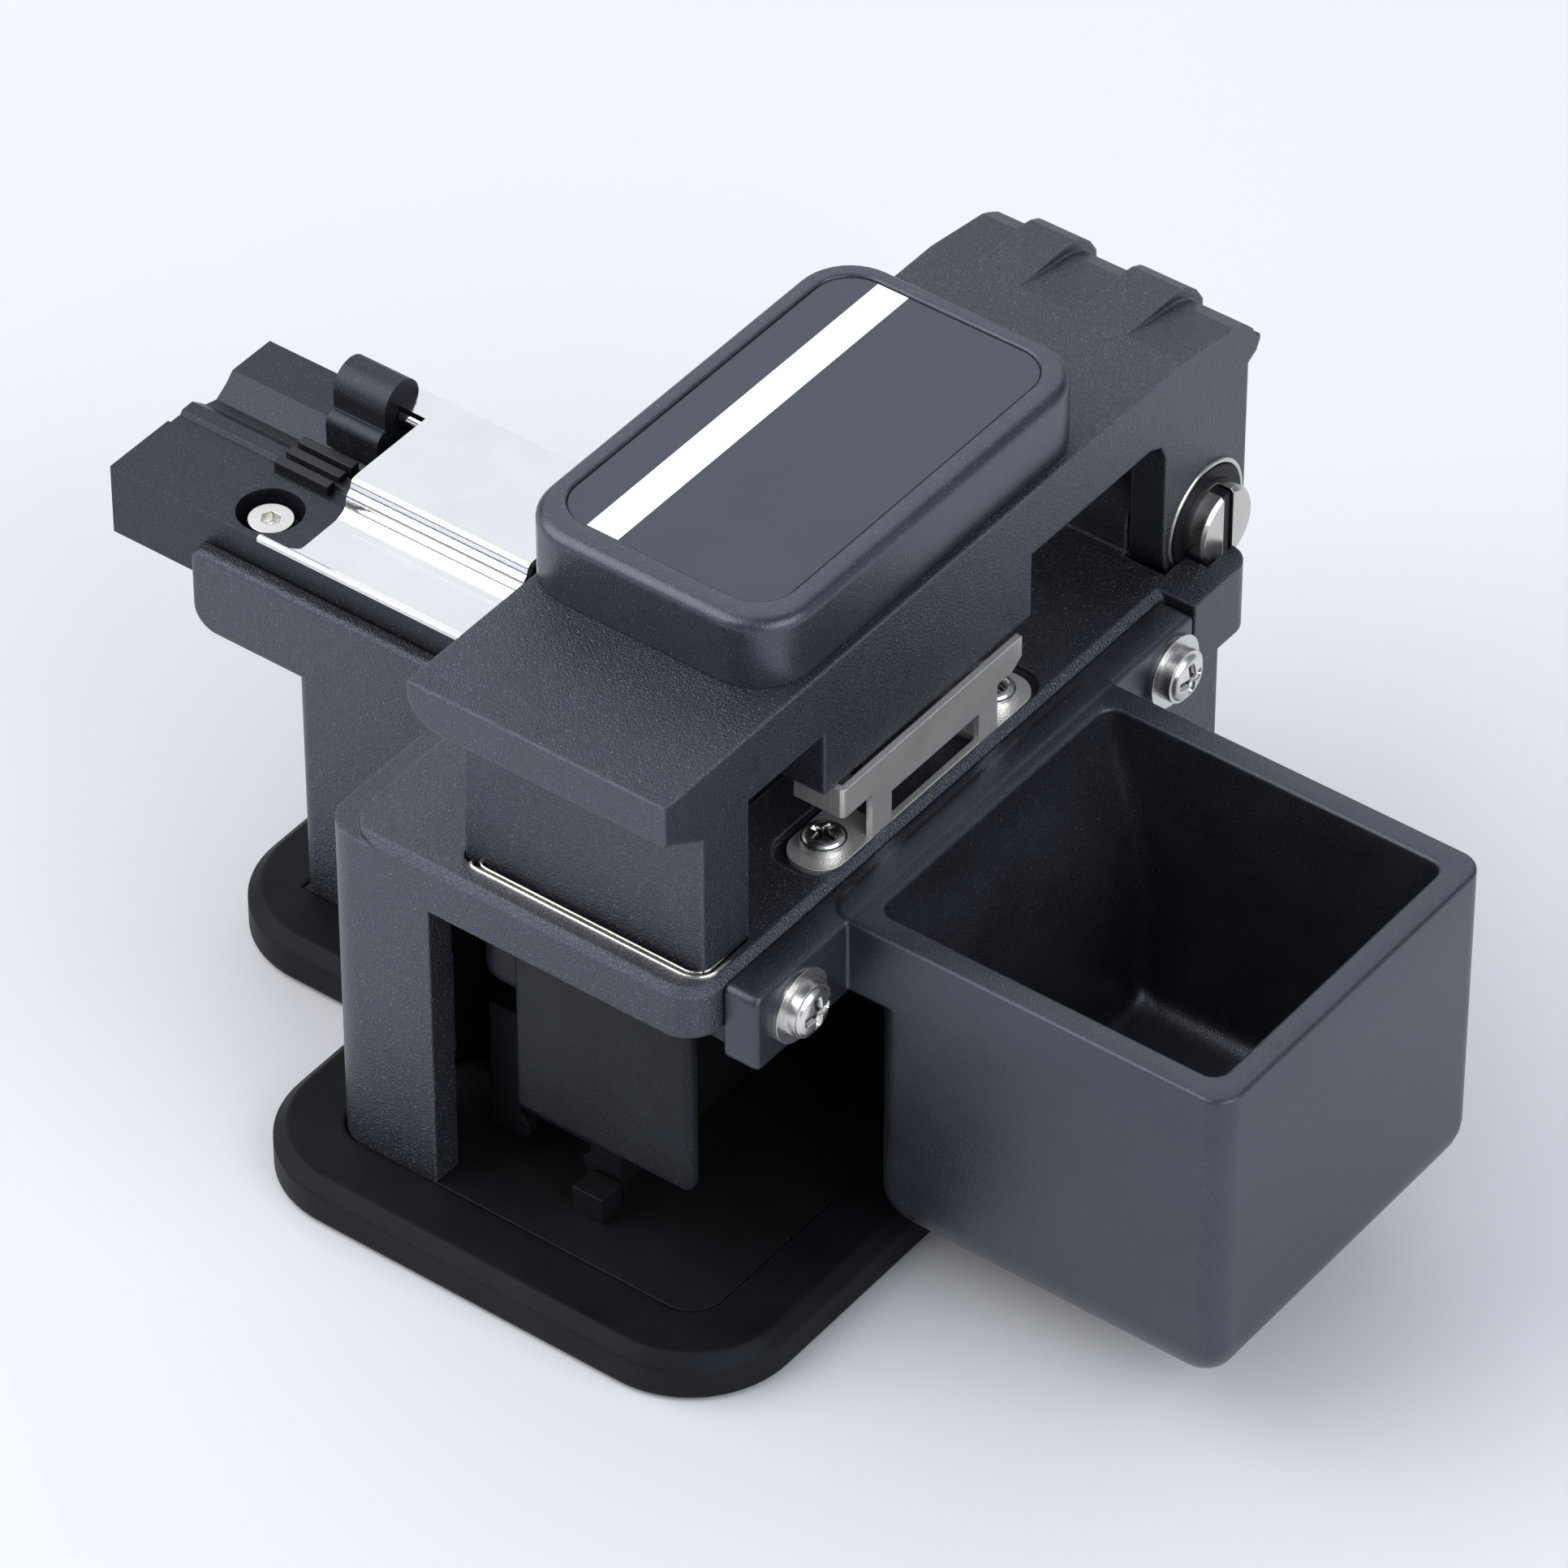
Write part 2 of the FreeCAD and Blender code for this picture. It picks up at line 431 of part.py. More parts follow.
def base_casting():
    """Body: deck on walls, wing for the holder, lug and pivot boss behind."""
    base = Piece("base_casting")
    base.block(("-deck_half", "-front_reach", "casting_low"), ("deck_half", "rear_reach", "deck_top"))
    base.round("Z", [("-deck_half", "-front_reach")], "leg_corner")
    base.round("Z", [("deck_half", "-front_reach"), ("-deck_half", "rear_reach")], "deck_corner")
    base.dress("Chamfer", base.level_edges("deck_top"), "deck_edge")
    base.block(("-deck_half + casting_wall", "-front_reach + front_wall", "casting_low"),
               ("deck_half - casting_wall", "rear_reach - casting_wall", "deck_low"), cut=True)
    base.block(("-window_left", "-front_reach - 1", "casting_low"),
               ("deck_half + 1", "-front_reach + front_wall", "deck_low"), cut=True)
    side = [("-front_reach - 1", "casting_low"), ("side_wall_front", "casting_low"),
            ("side_wall_front", "deck_low"), ("-ear_screw_front + ear_boss", "deck_low"),
            ("-ear_screw_front + ear_boss", "flange_low"),
            ("-ear_screw_front - ear_boss", "flange_low"),
            ("-ear_screw_front - ear_boss", "deck_low"), ("-front_reach - 1", "deck_low")]
    base.prism("YZ", ("deck_half - casting_wall", "deck_half + 1"), side, cut=True)
    base.prism("YZ", ("-deck_half - 1", "-deck_half + casting_wall"),
               [("-vent_front", "casting_low + vent_low"), ("-vent_rear", "casting_low + vent_low"),
                ("-vent_rear", "casting_low + vent_low + vent_high"),
                ("-vent_front", "casting_low + vent_low + vent_high")], cut=True)
    # lug beside the lever's cheek
    base.block(("deck_half - casting_wall", "lug_front", "lug_low"),
               ("lug_out", "rear_reach", "deck_top"))
    base.round("Z", [("lug_out", "rear_reach")], "lug_corner")
    # wing with its channel, and the column below it
    wing = [("wing_front", "wing_low"), ("wing_rear", "wing_low"), ("wing_rear", "wing_top"),
            ("holder_rear + holder_gap", "wing_top"), ("holder_rear + holder_gap", "holder_low"),
            ("-holder_front - holder_gap", "holder_low"),
            ("-holder_front - holder_gap", "wing_top"), ("wing_front", "wing_top")]
    base.prism("YZ", ("-wing_left", "-deck_half + casting_wall"), wing)
    base.round("Y", [("-wing_left", "wing_low")], "wing_corner")
    base.block(("-column_left", "wing_front", "casting_low"),
               ("-deck_half + casting_wall", "wing_rear", "wing_low"))
    base.round("Z", [("-column_left", "wing_front"), ("-column_left", "wing_rear")], "column_corner")
    base.round("Y", [("-wing_left", "wing_top")], "wing_round * 2")
    base.round("X", [("wing_front", "wing_top"), ("wing_rear", "wing_top")], "wing_round")
    base.block(("-column_left + column_wall", "wing_front + column_wall", "casting_low"),
               ("-deck_half - column_wall", "wing_rear - column_wall", "wing_low - column_wall"),
               cut=True)
    # step along the left edge
    base.block(("-deck_half - 1", "-front_reach - 1", "deck_top - step_deep"),
               ("-deck_half + step_wide", "-step_rear", "deck_top + 1"), cut=True)
    edge = "-deck_half + step_wide"
    base.prism("XY", ("deck_top - step_deep", "deck_top + 1"), [
        (f"{edge} - 1", "-front_reach - 1"), (f"{edge} + leg_corner", "-front_reach - 1"),
        (f"{edge} + leg_corner", "-front_reach"),
        (f"{edge} + leg_corner * 0.5", "-front_reach + leg_corner * 0.134"),
        (f"{edge} + leg_corner * 0.134", "-front_reach + leg_corner * 0.5"),
        (edge, "-front_reach + leg_corner"), (f"{edge} - 1", "-front_reach + leg_corner")], cut=True)
    # pocket for the lever's leg, blade slot, pad seats and bracket seat
    base.block(("-body_left - leg_play", "-leg_front - leg_pocket", "deck_top - leg_pocket_deep"),
               ("arm_right + leg_play", "-leg_rear + leg_play", "deck_top + 1"), cut=True)
    base.round("Z", [(x, y) for x in ("-body_left - leg_play", "arm_right + leg_play")
                     for y in ("-leg_front - leg_pocket", "-leg_rear + leg_play")], "pocket_corner")
    base.block(("blade_x - slot_half", "-slot_front", "deck_low - 1"),
               ("blade_x + slot_half", "slot_rear", "deck_top + 1"), cut=True)
    for side in ("-", "+"):
        middle = f"blade_x {side} fibre_pad_offset"
        base.block((f"{middle} - fibre_pad_half - pad_slip",
                    "fibre_y - fibre_pad_deep - pad_slip", "deck_top - lower_pad_seat"),
                   (f"{middle} + fibre_pad_half + pad_slip",
                    "fibre_y + fibre_pad_deep + pad_slip", "deck_top + 1"), cut=True)
    base.block(("guide_seat_left", "-guide_seat_front", "deck_top - guide_seat"),
               ("guide_out + pad_slip", "guide_seat_rear", "deck_top + 1"), cut=True)
    base.round("Z", [(x, y) for x in ("guide_seat_left", "guide_out + pad_slip")
                     for y in ("-guide_seat_front", "guide_seat_rear")], "tab_corner")
    # pivot boss between the cheeks, and room for the cheeks beside it
    boss = [("pivot_y - cheek_radius", "deck_low"), ("pivot_y + cheek_radius", "deck_low"),
            ("pivot_y + cheek_radius", "pivot_z"), ("pivot_y - cheek_radius", "pivot_z")]
    base.prism("YZ", ("boss_left", "boss_right"), boss)
    base.disc("YZ", ("boss_left", "boss_right"), ("pivot_y", "pivot_z"), "cheek_radius")
    notch_low = "pivot_z - cheek_radius - notch_gap"
    base.block(("boss_right", "cheek_front - notch_gap", notch_low),
               ("arm_right + notch_gap", "rear_reach + 1", "deck_top + 1"), cut=True)
    base.block(("-body_left - notch_gap", "cheek_front - notch_gap", notch_low),
               ("boss_left", "rear_reach + 1", "deck_top + 1"), cut=True)
    base.block(("boss_left", "cheek_front - notch_gap", "pivot_z - coil_radius - coil_wire - play"),
               ("boss_left + boss_cut", "arm_rear + 1", "pivot_z + cheek_radius + 1"), cut=True)
    base.disc("YZ", ("arm_right", "arm_right + pin_out + play"), ("pivot_y", "pivot_z"),
              "pin_radius + play", cut=True)
    base.disc("YZ", ("boss_left - 1", "boss_right + 1"), ("pivot_y", "pivot_z"),
              "pin_radius + fit", cut=True)
    # threads and seats
    for y in ("-ear_screw_front", "ear_screw_rear"):
        base.disc("YZ", ("deck_half - casting_wall", "lug_out + 1"), (y, "ear_screw_z"),
                  "ear_screw + fit", cut=True)
    for y in ("-guide_screw_front", "guide_screw_rear"):
        base.disc("XY", ("deck_low", "deck_top + 1"), ("guide_screw_x", y),
                  "small_screw + fit", cut=True)
    base.disc("XY", ("wing_low - column_wall - 1", "holder_low + 1"),
              ("-holder_screw_x", "-holder_screw_y"), "small_screw + fit", cut=True)
    for x, y in SCREW_SPOTS:
        base.disc("XY", ("casting_low", "casting_low + screw_bite"), (x, y),
                  "small_screw + fit", cut=True)
    base.disc("XY", ("deck_top - leg_pocket_deep - magnet_thick", "deck_top"),
              ("leg_middle", "-(leg_front + leg_rear) / 2"),
              "magnet_radius + fit", cut=True)


def fibre_holder():
    """Grooved block that carries the fibre, with half of the clamp's hinge."""
    holder = Piece("fibre_holder")
    top, deep = "holder_top", "groove_deep"
    section = [
        ("-holder_front", "holder_low"), ("holder_rear", "holder_low"), ("holder_rear", top),
        ("groove_middle + groove_half", top),
        ("groove_middle + groove_half * 0.6", f"{top} - {deep} * 0.5"),
        ("groove_middle", f"{top} - {deep}"),
        ("groove_middle - groove_half * 0.6", f"{top} - {deep} * 0.8"),
        ("groove_middle - groove_half * 1.35", top),
        ("-slit_middle + slit_half", top),
        ("-slit_middle + slit_half * 0.7", f"{top} - slit_deep"),
        ("-slit_middle - slit_half * 0.7", f"{top} - slit_deep"),
        ("-slit_middle - slit_half", top), ("-holder_front", top)]
    holder.prism("YZ", ("-holder_left", "-holder_right"), section)
    spot = ("-holder_screw_x", "-holder_screw_y")
    holder.disc("XY", ("holder_top - sink_deep", "holder_top + 1"), spot, "sink_radius", cut=True)
    holder.disc("XY", ("holder_low", "holder_top"), spot, "small_screw + fit", cut=True)
    for n in (-1, 0, 1):
        middle = f"fibre_y + ({n}) * strip_pitch"
        holder.block(("-strip_left", f"{middle} - strip_wide / 2", "holder_top - strip_deep"),
                     ("-strip_left + strip_long", f"{middle} + strip_wide / 2", "holder_top + 1"),
                     cut=True)
    near = ("-knuckle_left", "-knuckle_left + knuckle_long")
    for span in (near, ("-lid_right + lid_gap", "-holder_right")):
        holder.prism("YZ", span, [("knuckle_y - knuckle_radius", "holder_top - 1"),
                                  ("knuckle_y + knuckle_radius", "holder_top - 1"),
                                  ("knuckle_y + knuckle_radius", "knuckle_z"),
                                  ("knuckle_y - knuckle_radius", "knuckle_z")])
        holder.disc("YZ", span, ("knuckle_y", "knuckle_z"), "knuckle_radius")
    holder.prism("YZ", near, [("lobe_y - lobe_radius", "holder_top - 1"),
                              ("knuckle_y", "holder_top - 1"), ("knuckle_y", "lobe_z"),
                              ("lobe_y - lobe_radius", "lobe_z")])
    holder.disc("YZ", near, ("lobe_y", "lobe_z"), "lobe_radius")
    for span in (near, ("-lid_right + lid_gap", "-holder_right")):
        holder.disc("YZ", span, ("hinge_y", "hinge_z"), "hinge_pin_radius + fit", cut=True)
    holder.disc("XY", ("holder_top - magnet_thick", "holder_top + 1"),
                ("-clamp_magnet_x", "-clamp_magnet_y"), "magnet_radius + fit", cut=True)


def holder_strips():
    """Three short rubber guides that keep the fibre in line."""
    strip = Piece("strip", ("0", "0", "0"), node=False)
    strip.block(("0", "-strip_wide / 2", "0"),
                ("strip_long", "strip_wide / 2", "strip_deep + strip_proud"))
    repeat("holder_strips", strip,
           [("datum_x - strip_left", f"datum_y + fibre_y + ({n}) * strip_pitch",
             "holder_top - strip_deep") for n in (-1, 0, 1)])


def socket_screw(label, at, length, node=True, turn=None):
    """Cap screw with a hexagon socket, its head's seat at the origin."""
    screw = Piece(label, at, turn, node)
    screw.turned([("0", f"-({length})"), ("small_screw", f"-({length})"), ("small_screw", "0"),
                  ("cap_head", "0"), ("cap_head", "cap_head_high"), ("0", "cap_head_high")])
    corners = [(f"hex_flat / sqrt(3) * cos({60 * n})", f"hex_flat / sqrt(3) * sin({60 * n})")
               for n in range(6)]
    screw.prism("XY", ("cap_head_high - hex_deep", "cap_head_high + 1"), corners, cut=True)
    return screw


def clamp_lid():
    """Bent stainless lid with its barrel, lifted about the rear hinge."""
    lid = Piece("clamp_lid")
    under = "holder_top + lid_flange"
    over = f"{under} + lid_thick"
    front = "-holder_front - holder_gap"
    ends = ("-lid_left", "-lid_right")
    lid.prism("YZ", ends, [
        ("lid_rear", "lid_top"), ("-lid_bend", "lid_top"), ("-lid_bend - 0.7", "lid_top - 0.6"),
        ("-lid_bend - 1.1", "lid_top - 1.7"), ("-lid_bend - 1.9", over), (front, over),
        (f"{front} - lid_thick * 0.7", f"{over} - lid_thick * 0.6"),
        (f"{front} - lid_thick * 0.7", f"{under} - lid_hem"), (front, f"{under} - lid_hem"),
        (front, under), ("-lid_bend - 1.2", under), ("-lid_bend - 0.3", "lid_top - 1.9"),
        ("-lid_bend + 0.1", "lid_top - lid_thick - 0.2"), ("-lid_bend + 0.4", "lid_top - lid_thick"),
        ("lid_rear", "lid_top - lid_thick")])
    left = "-knuckle_left + knuckle_long + lid_gap"
    lid.block((left, "lid_notch", "lid_top - lid_thick"), ("-lid_left", "lid_rear", "lid_top"))
    lid.round("Z", [(left, "lid_rear")], "lid_thick * 1.5")
    lid.block(("-lid_left - hem_long", f"{front} - lid_thick * 0.7", f"{under} - hem_high"),
              ("-lid_left", front, under))
    lid.disc("YZ", (left, "-lid_right"), ("hinge_y", "hinge_z"), "lid_barrel")
    lid.disc("YZ", (f"{left} - 1", "-lid_right + 1"), ("hinge_y", "hinge_z"),
             "hinge_pin_radius + fit", cut=True)


def clamp_small_parts():
    """Pin, pad and magnet of the clamp."""
    pin = Piece("clamp_hinge_pin")
    pin.disc("YZ", ("-knuckle_left + play", "-holder_right - play"), ("hinge_y", "hinge_z"),
             "hinge_pin_radius")
    pad = Piece("clamp_lid_pad")
    pad.block(("-lid_left + lid_pad_inset", "fibre_y - lid_pad_half", "holder_top + lid_pad_gap"),
              ("-lid_right - lid_pad_inset", "fibre_y + lid_pad_half", "lid_top - lid_thick"))
    magnet = Piece("clamp_magnet")
    magnet.disc("XY", ("holder_top - magnet_thick", "holder_top"),
                ("-clamp_magnet_x", "-clamp_magnet_y"), "magnet_radius")


def box_outline(inset):
    """Outline of the scrap box with bevelled corners, drawn in by an inset."""
    west, east = f"box_left + {inset}", f"box_right - {inset}"
    south, north = f"-box_front + {inset}", f"box_rear - {inset}"
    far, near = "box_corner", "box_corner * 0.293"
    return [
        (f"{west} + {far}", south), (f"{east} - {far}", south),
        (f"{east} - {near}", f"{south} + {near}"), (east, f"{south} + {far}"),
        (east, f"{north} - {far}"), (f"{east} - {near}", f"{north} - {near}"),
        (f"{east} - {far}", north), (f"{west} + {far}", north),
        (f"{west} + {near}", f"{north} - {near}"), (west, f"{north} - {far}"),
        (west, f"{south} + {far}"), (f"{west} + {near}", f"{south} + {near}"),
    ]


def scrap_box():
    """Open box for broken fibre, with a sloping chute and two screwed ears."""
    box = Piece("scrap_box")
    layers = [(f"box_bottom * (1 - sin({turn}))", f"box_low + box_bottom * (1 - cos({turn}))")
              for turn in (0, 30, 60, 90)] + [("0", "flange_top")]
    box.layered([box.loop("XY", level, box_outline(inset)) for inset, level in layers])
    box.block(("lug_out", "-box_front", "box_step"), ("box_left + box_corner", "box_rear", "flange_top"))
    box.block(("deck_half", "-flange_front", "flange_low"), ("lug_out", "flange_rear", "flange_top"))
    box.prism("XZ", ("-box_front + box_wall", "box_rear - box_wall"), [
        ("chute_left", "flange_top + 1"), ("chute_left", "flange_top - chute_lip"),
        ("chute_left + chute_step", "flange_top - chute_lip - chute_deep"),
        ("(box_left + box_wall + chute_left + chute_step) / 2", "box_step"),
        ("box_left + box_wall", "box_step - chute_deep"),
        ("box_left + box_wall", "box_low + box_wall"), ("box_right - box_wall", "box_low + box_wall"),
        ("box_right - box_wall", "flange_top + 1")], cut=True)
    box.round("Z", [("box_right - box_wall", "-box_front + box_wall"),
                    ("box_right - box_wall", "box_rear - box_wall")], "box_inner")
    for y in ("-ear_screw_front", "ear_screw_rear"):
        box.disc("YZ", ("deck_half", "lug_out"), (y, "ear_screw_z"), "ear_screw + fit", cut=True)


def cross_screw(label, radius, head, head_high, length, at, turn=None, node=True):
    """Domed pan-head screw with a cross recess, its head's seat at the origin."""
    screw = Piece(label, at, turn, node)
    screw.turned([("0", f"-({length})"), (radius, f"-({length})"), (radius, "0"), (head, "0"),
                  (head, f"{head_high} * 0.5"), (f"{head} * 0.65", head_high), ("0", head_high)])
    for wide, long in (("cross_wide", "cross_long"), ("cross_long", "cross_wide")):
        screw.block((f"-{wide} / 2", f"-{long} / 2", f"{head_high} - cross_deep"),
                    (f"{wide} / 2", f"{long} / 2", f"{head_high} + 1"), cut=True)
    return screw


def scrap_box_fasteners():
    """Ear screws on plain washers, driven towards the deck."""
    sideways = FreeCAD.Rotation(V(0, 1, 0), 90)
    washer = Piece("washer", ("0", "0", "0"), node=False)
    washer.disc("XY", ("0", "washer_thick"), ("0", "0"), "washer_radius")
    washer.disc("XY", ("-1", "washer_thick + 1"), ("0", "0"), "ear_screw + fit", cut=True)
    screw = cross_screw("ear_screw", "ear_screw", "ear_head", "ear_head_high",
                        "washer_thick + flange_thick + casting_wall - 0.3", ("0", "0", "0"), node=False)
    for label, piece, out in (("scrap_box_washers", washer, "0"),
                              ("scrap_box_screws", screw, "washer_thick")):
        repeat(label, piece, [(f"datum_x + lug_out + {out}", f"datum_y + {y}", "ear_screw_z")
                              for y in ("-ear_screw_front", "ear_screw_rear")], sideways)


def guide_bracket():
    """Bent sheet guide beside the lever, with an opening for the fibre."""
    guide = Piece("guide_bracket")
    seat = "deck_top - guide_seat"
    inner = "guide_out - sheet_thick"
    band = "guide_top - guide_band"
    guide.prism("YZ", (inner, "guide_out"), [
        ("-guide_front", band), ("-guide_low_front", band), ("-guide_low_front", seat),
        ("guide_low_rear", seat), ("guide_low_rear", band), ("guide_rear - 1.2", band),
        ("guide_rear", f"{band} + 0.8"), ("guide_rear", "guide_top"), ("-guide_front", "guide_top")])
    guide.prism("YZ", (inner, "guide_out"), [
        ("-guide_slot_front", "guide_slot_low"), ("guide_slot_rear", "guide_slot_low"),
        ("guide_slot_rear", "guide_slot_high"), ("-guide_slot_front", "guide_slot_high")], cut=True)
    guide.block(("guide_out - guide_curl", "-guide_front - sheet_thick", band),
                ("guide_out", "-guide_front", "guide_top"))
    guide.round("Z", [("guide_out", "-guide_front - sheet_thick")], "sheet_thick * 0.9")
    for low, high in (("-tab_front", "-guide_low_front + tab_overlap"),
                      ("guide_low_rear - tab_overlap", "tab_rear")):
        guide.block(("tab_left", low, seat), ("guide_out", high, f"{seat} + sheet_thick"))
    guide.round("Z", [(x, y) for x in ("tab_left", "guide_out") for y in ("-tab_front", "tab_rear")],
                "tab_corner")
    for y in ("-guide_screw_front", "guide_screw_rear"):
        guide.disc("XY", (seat, f"{seat} + sheet_thick"), ("guide_screw_x", y),
                   "small_screw + fit", cut=True)


def guide_screws():
    """Two small pan-head screws of the guide bracket."""
    screw = cross_screw("guide_screw", "small_screw", "pan_head", "pan_head_high",
                        "sheet_thick + screw_bite - 0.4", ("0", "0", "0"), node=False)
    repeat("guide_screws", screw,
           [("datum_x + guide_screw_x", f"datum_y + {y}", "deck_top - guide_seat + sheet_thick")
            for y in ("-guide_screw_front", "guide_screw_rear")])


def fibre_pads():
    """Rubber pads that grip the fibre on both sides of the blade."""
    for label, low, high in (
            ("lower_pads", "deck_top - lower_pad_seat", "deck_top + lower_pad_proud"),
            ("upper_pads", "deck_top + lower_pad_proud + pad_slip", "carrier_low + upper_pad_seat")):
        pad = Piece(label + "_one", ("0", "0", "0"), node=False)
        pad.block(("-fibre_pad_half", "-fibre_pad_deep", "0"),
                  ("fibre_pad_half", "fibre_pad_deep", f"({high}) - ({low})"))
        repeat(label, pad, [(f"datum_x + blade_x {side} fibre_pad_offset", "datum_y + fibre_y", low)
                            for side in ("-", "+")])


def slide_rail():
    """Straight rail with waisted sides, screwed to the floor."""
    rail = Piece("slide_rail", ("datum_x + rail_x", "datum_y", "casting_low"))
    rail.prism("XZ", ("-rail_front", "rail_rear"), [
        ("-rail_half", "0"), ("rail_half", "0"), ("rail_half", "rail_neck_low"),
        ("rail_half - rail_neck", "rail_neck_low + rail_neck"),
        ("rail_half - rail_neck", "rail_neck_high"),
        ("rail_half", "rail_neck_high + rail_neck"), ("rail_half", "rail_high"),
        ("-rail_half", "rail_high"), ("-rail_half", "rail_neck_high + rail_neck"),
        ("-rail_half + rail_neck", "rail_neck_high"),
        ("-rail_half + rail_neck", "rail_neck_low + rail_neck"),
        ("-rail_half", "rail_neck_low")])
    for y in ("-rail_front + 8", "rail_rear - 8"):
        rail.disc("XY", ("rail_high - cap_head_high - 0.4", "rail_high"), ("0", y),
                  "cap_head + play", cut=True)
        rail.disc("XY", ("0", "rail_high"), ("0", y), "small_screw + fit", cut=True)


def rail_screws():
    """Cap screws of the rail."""
    screw = socket_screw("rail_screw", ("0", "0", "0"), "rail_high - cap_head_high - 0.6", node=False)
    repeat("rail_screws", screw,
           [("datum_x + rail_x", f"datum_y + {y}", "casting_low + rail_high - cap_head_high - 0.4")
            for y in ("-rail_front + 8", "rail_rear - 8")])


def slide_stops():
    """Rubber buffers on the floor at both ends of the carriage's travel."""
    stop = Piece("slide_stop", ("0", "0", "0"), node=False)
    stop.block(("-stop_high / 2", "0", "0"), ("stop_high / 2", "stop_long", "stop_tall"))
    x = "datum_x + rail_x + rail_half + stop_high / 2 + play"
    repeat("slide_stops", stop, [
        (x, "datum_y - carriage_rear + stroke + stop_gap", "casting_low"),
        (x, "datum_y - carriage_front - stop_gap - stop_long", "casting_low")])


def slider_carriage():
    """Carriage block that straddles the rail."""
    ride = Piece("slider_carriage", ("datum_x + rail_x", "datum_y", "casting_low"))
    low, top = "carriage_low - casting_low", "carriage_top - casting_low"
    ride.block(("-carriage_half", "-carriage_front", low), ("carriage_half", "-carriage_rear", top))
    half, neck, fit = "rail_half", "rail_neck", "rail_fit"
    ride.prism("XZ", ("-carriage_front", "-carriage_rear"), [
        (f"-{half} - {fit}", f"{low} - 1"), (f"{half} + {fit}", f"{low} - 1"),
        (f"{half} + {fit}", f"rail_neck_low - {fit}"),
        (f"{half} - {neck} + {fit}", f"rail_neck_low + {neck} - {fit}"),
        (f"{half} - {neck} + {fit}", f"rail_neck_high + {fit}"),
        (f"{half} + {fit}", f"rail_neck_high + {neck} + {fit}"),
        (f"{half} + {fit}", f"rail_high + {fit}"), (f"-{half} - {fit}", f"rail_high + {fit}"),
        (f"-{half} - {fit}", f"rail_neck_high + {neck} + {fit}"),
        (f"-{half} + {neck} - {fit}", f"rail_neck_high + {fit}"),
        (f"-{half} + {neck} - {fit}", f"rail_neck_low + {neck} - {fit}"),
        (f"-{half} - {fit}", f"rail_neck_low - {fit}")], cut=True)


def push_block():
    """Block that the thumb pushes, with a rounded shoulder at its left."""
    block = Piece("push_block")
    block.block(("-push_left", "-push_front", "push_low"),
                ("push_right", "-carriage_front", "push_top"))
    block.round("Z", [("-push_left", "-push_front")], "push_round")
    block.round("Z", [("push_right", "-push_front")], "push_side")
    block.block(("-shoulder_left", "-shoulder_front", "shoulder_low"),
                ("-push_left", "-carriage_front", "push_top"))
    block.round("Y", [("-shoulder_left", "shoulder_low")], "shoulder_round")


def blade_holder():
    """Bracket that carries the blade's axle on the carriage."""
    fork = Piece("blade_holder")
    right = "blade_x - blade_thick / 2 - fork_clear"
    fork.block((f"{right} - fork_foot", "-fork_front", "carriage_top"),
               (right, "-fork_rear", "carriage_top + fork_foot_high"))
    fork.block((f"{right} - fork_thick", "-fork_front", "carriage_top + fork_foot_high"),
               (right, "-fork_rear", "deck_low - fork_clear"))
    fork.disc("YZ", (f"{right} - fork_thick", right), ("blade_y", "blade_z"), "axle_radius + fit",
              cut=True)


def blade_wheel():
    """Round scoring blade with a bevelled rim."""
    wheel = Piece("blade_wheel", ("datum_x + blade_x", "datum_y + blade_y", "blade_z"),
                  FreeCAD.Rotation(V(0, 1, 0), 90))
    half = "blade_thick / 2"
    wheel.turned([("axle_radius + fit", f"-{half}"), ("blade_radius - 1.6", f"-{half}"),
                  ("blade_radius", "0"), ("blade_radius - 1.6", half),
                  ("axle_radius + fit", half)])


def blade_axle():
    """Headed axle on which the blade turns."""
    axle = Piece("blade_axle", ("datum_x + blade_x", "datum_y + blade_y", "blade_z"),
                 FreeCAD.Rotation(V(0, 1, 0), 90))
    out = "blade_thick / 2 + pad_slip"
    axle.turned([("0", "-(blade_thick / 2 + fork_clear + fork_thick)"),
                 ("axle_radius", "-(blade_thick / 2 + fork_clear + fork_thick)"),
                 ("axle_radius", out), ("axle_head", out), ("axle_head", f"{out} + axle_head_thick"),
                 ("0", f"{out} + axle_head_thick")])
    axle.block(("-cross_wide / 2", "-axle_head - 1", f"{out} + axle_head_thick - cross_deep"),
               ("cross_wide / 2", "axle_head + 1", f"{out} + axle_head_thick + 1"), cut=True)


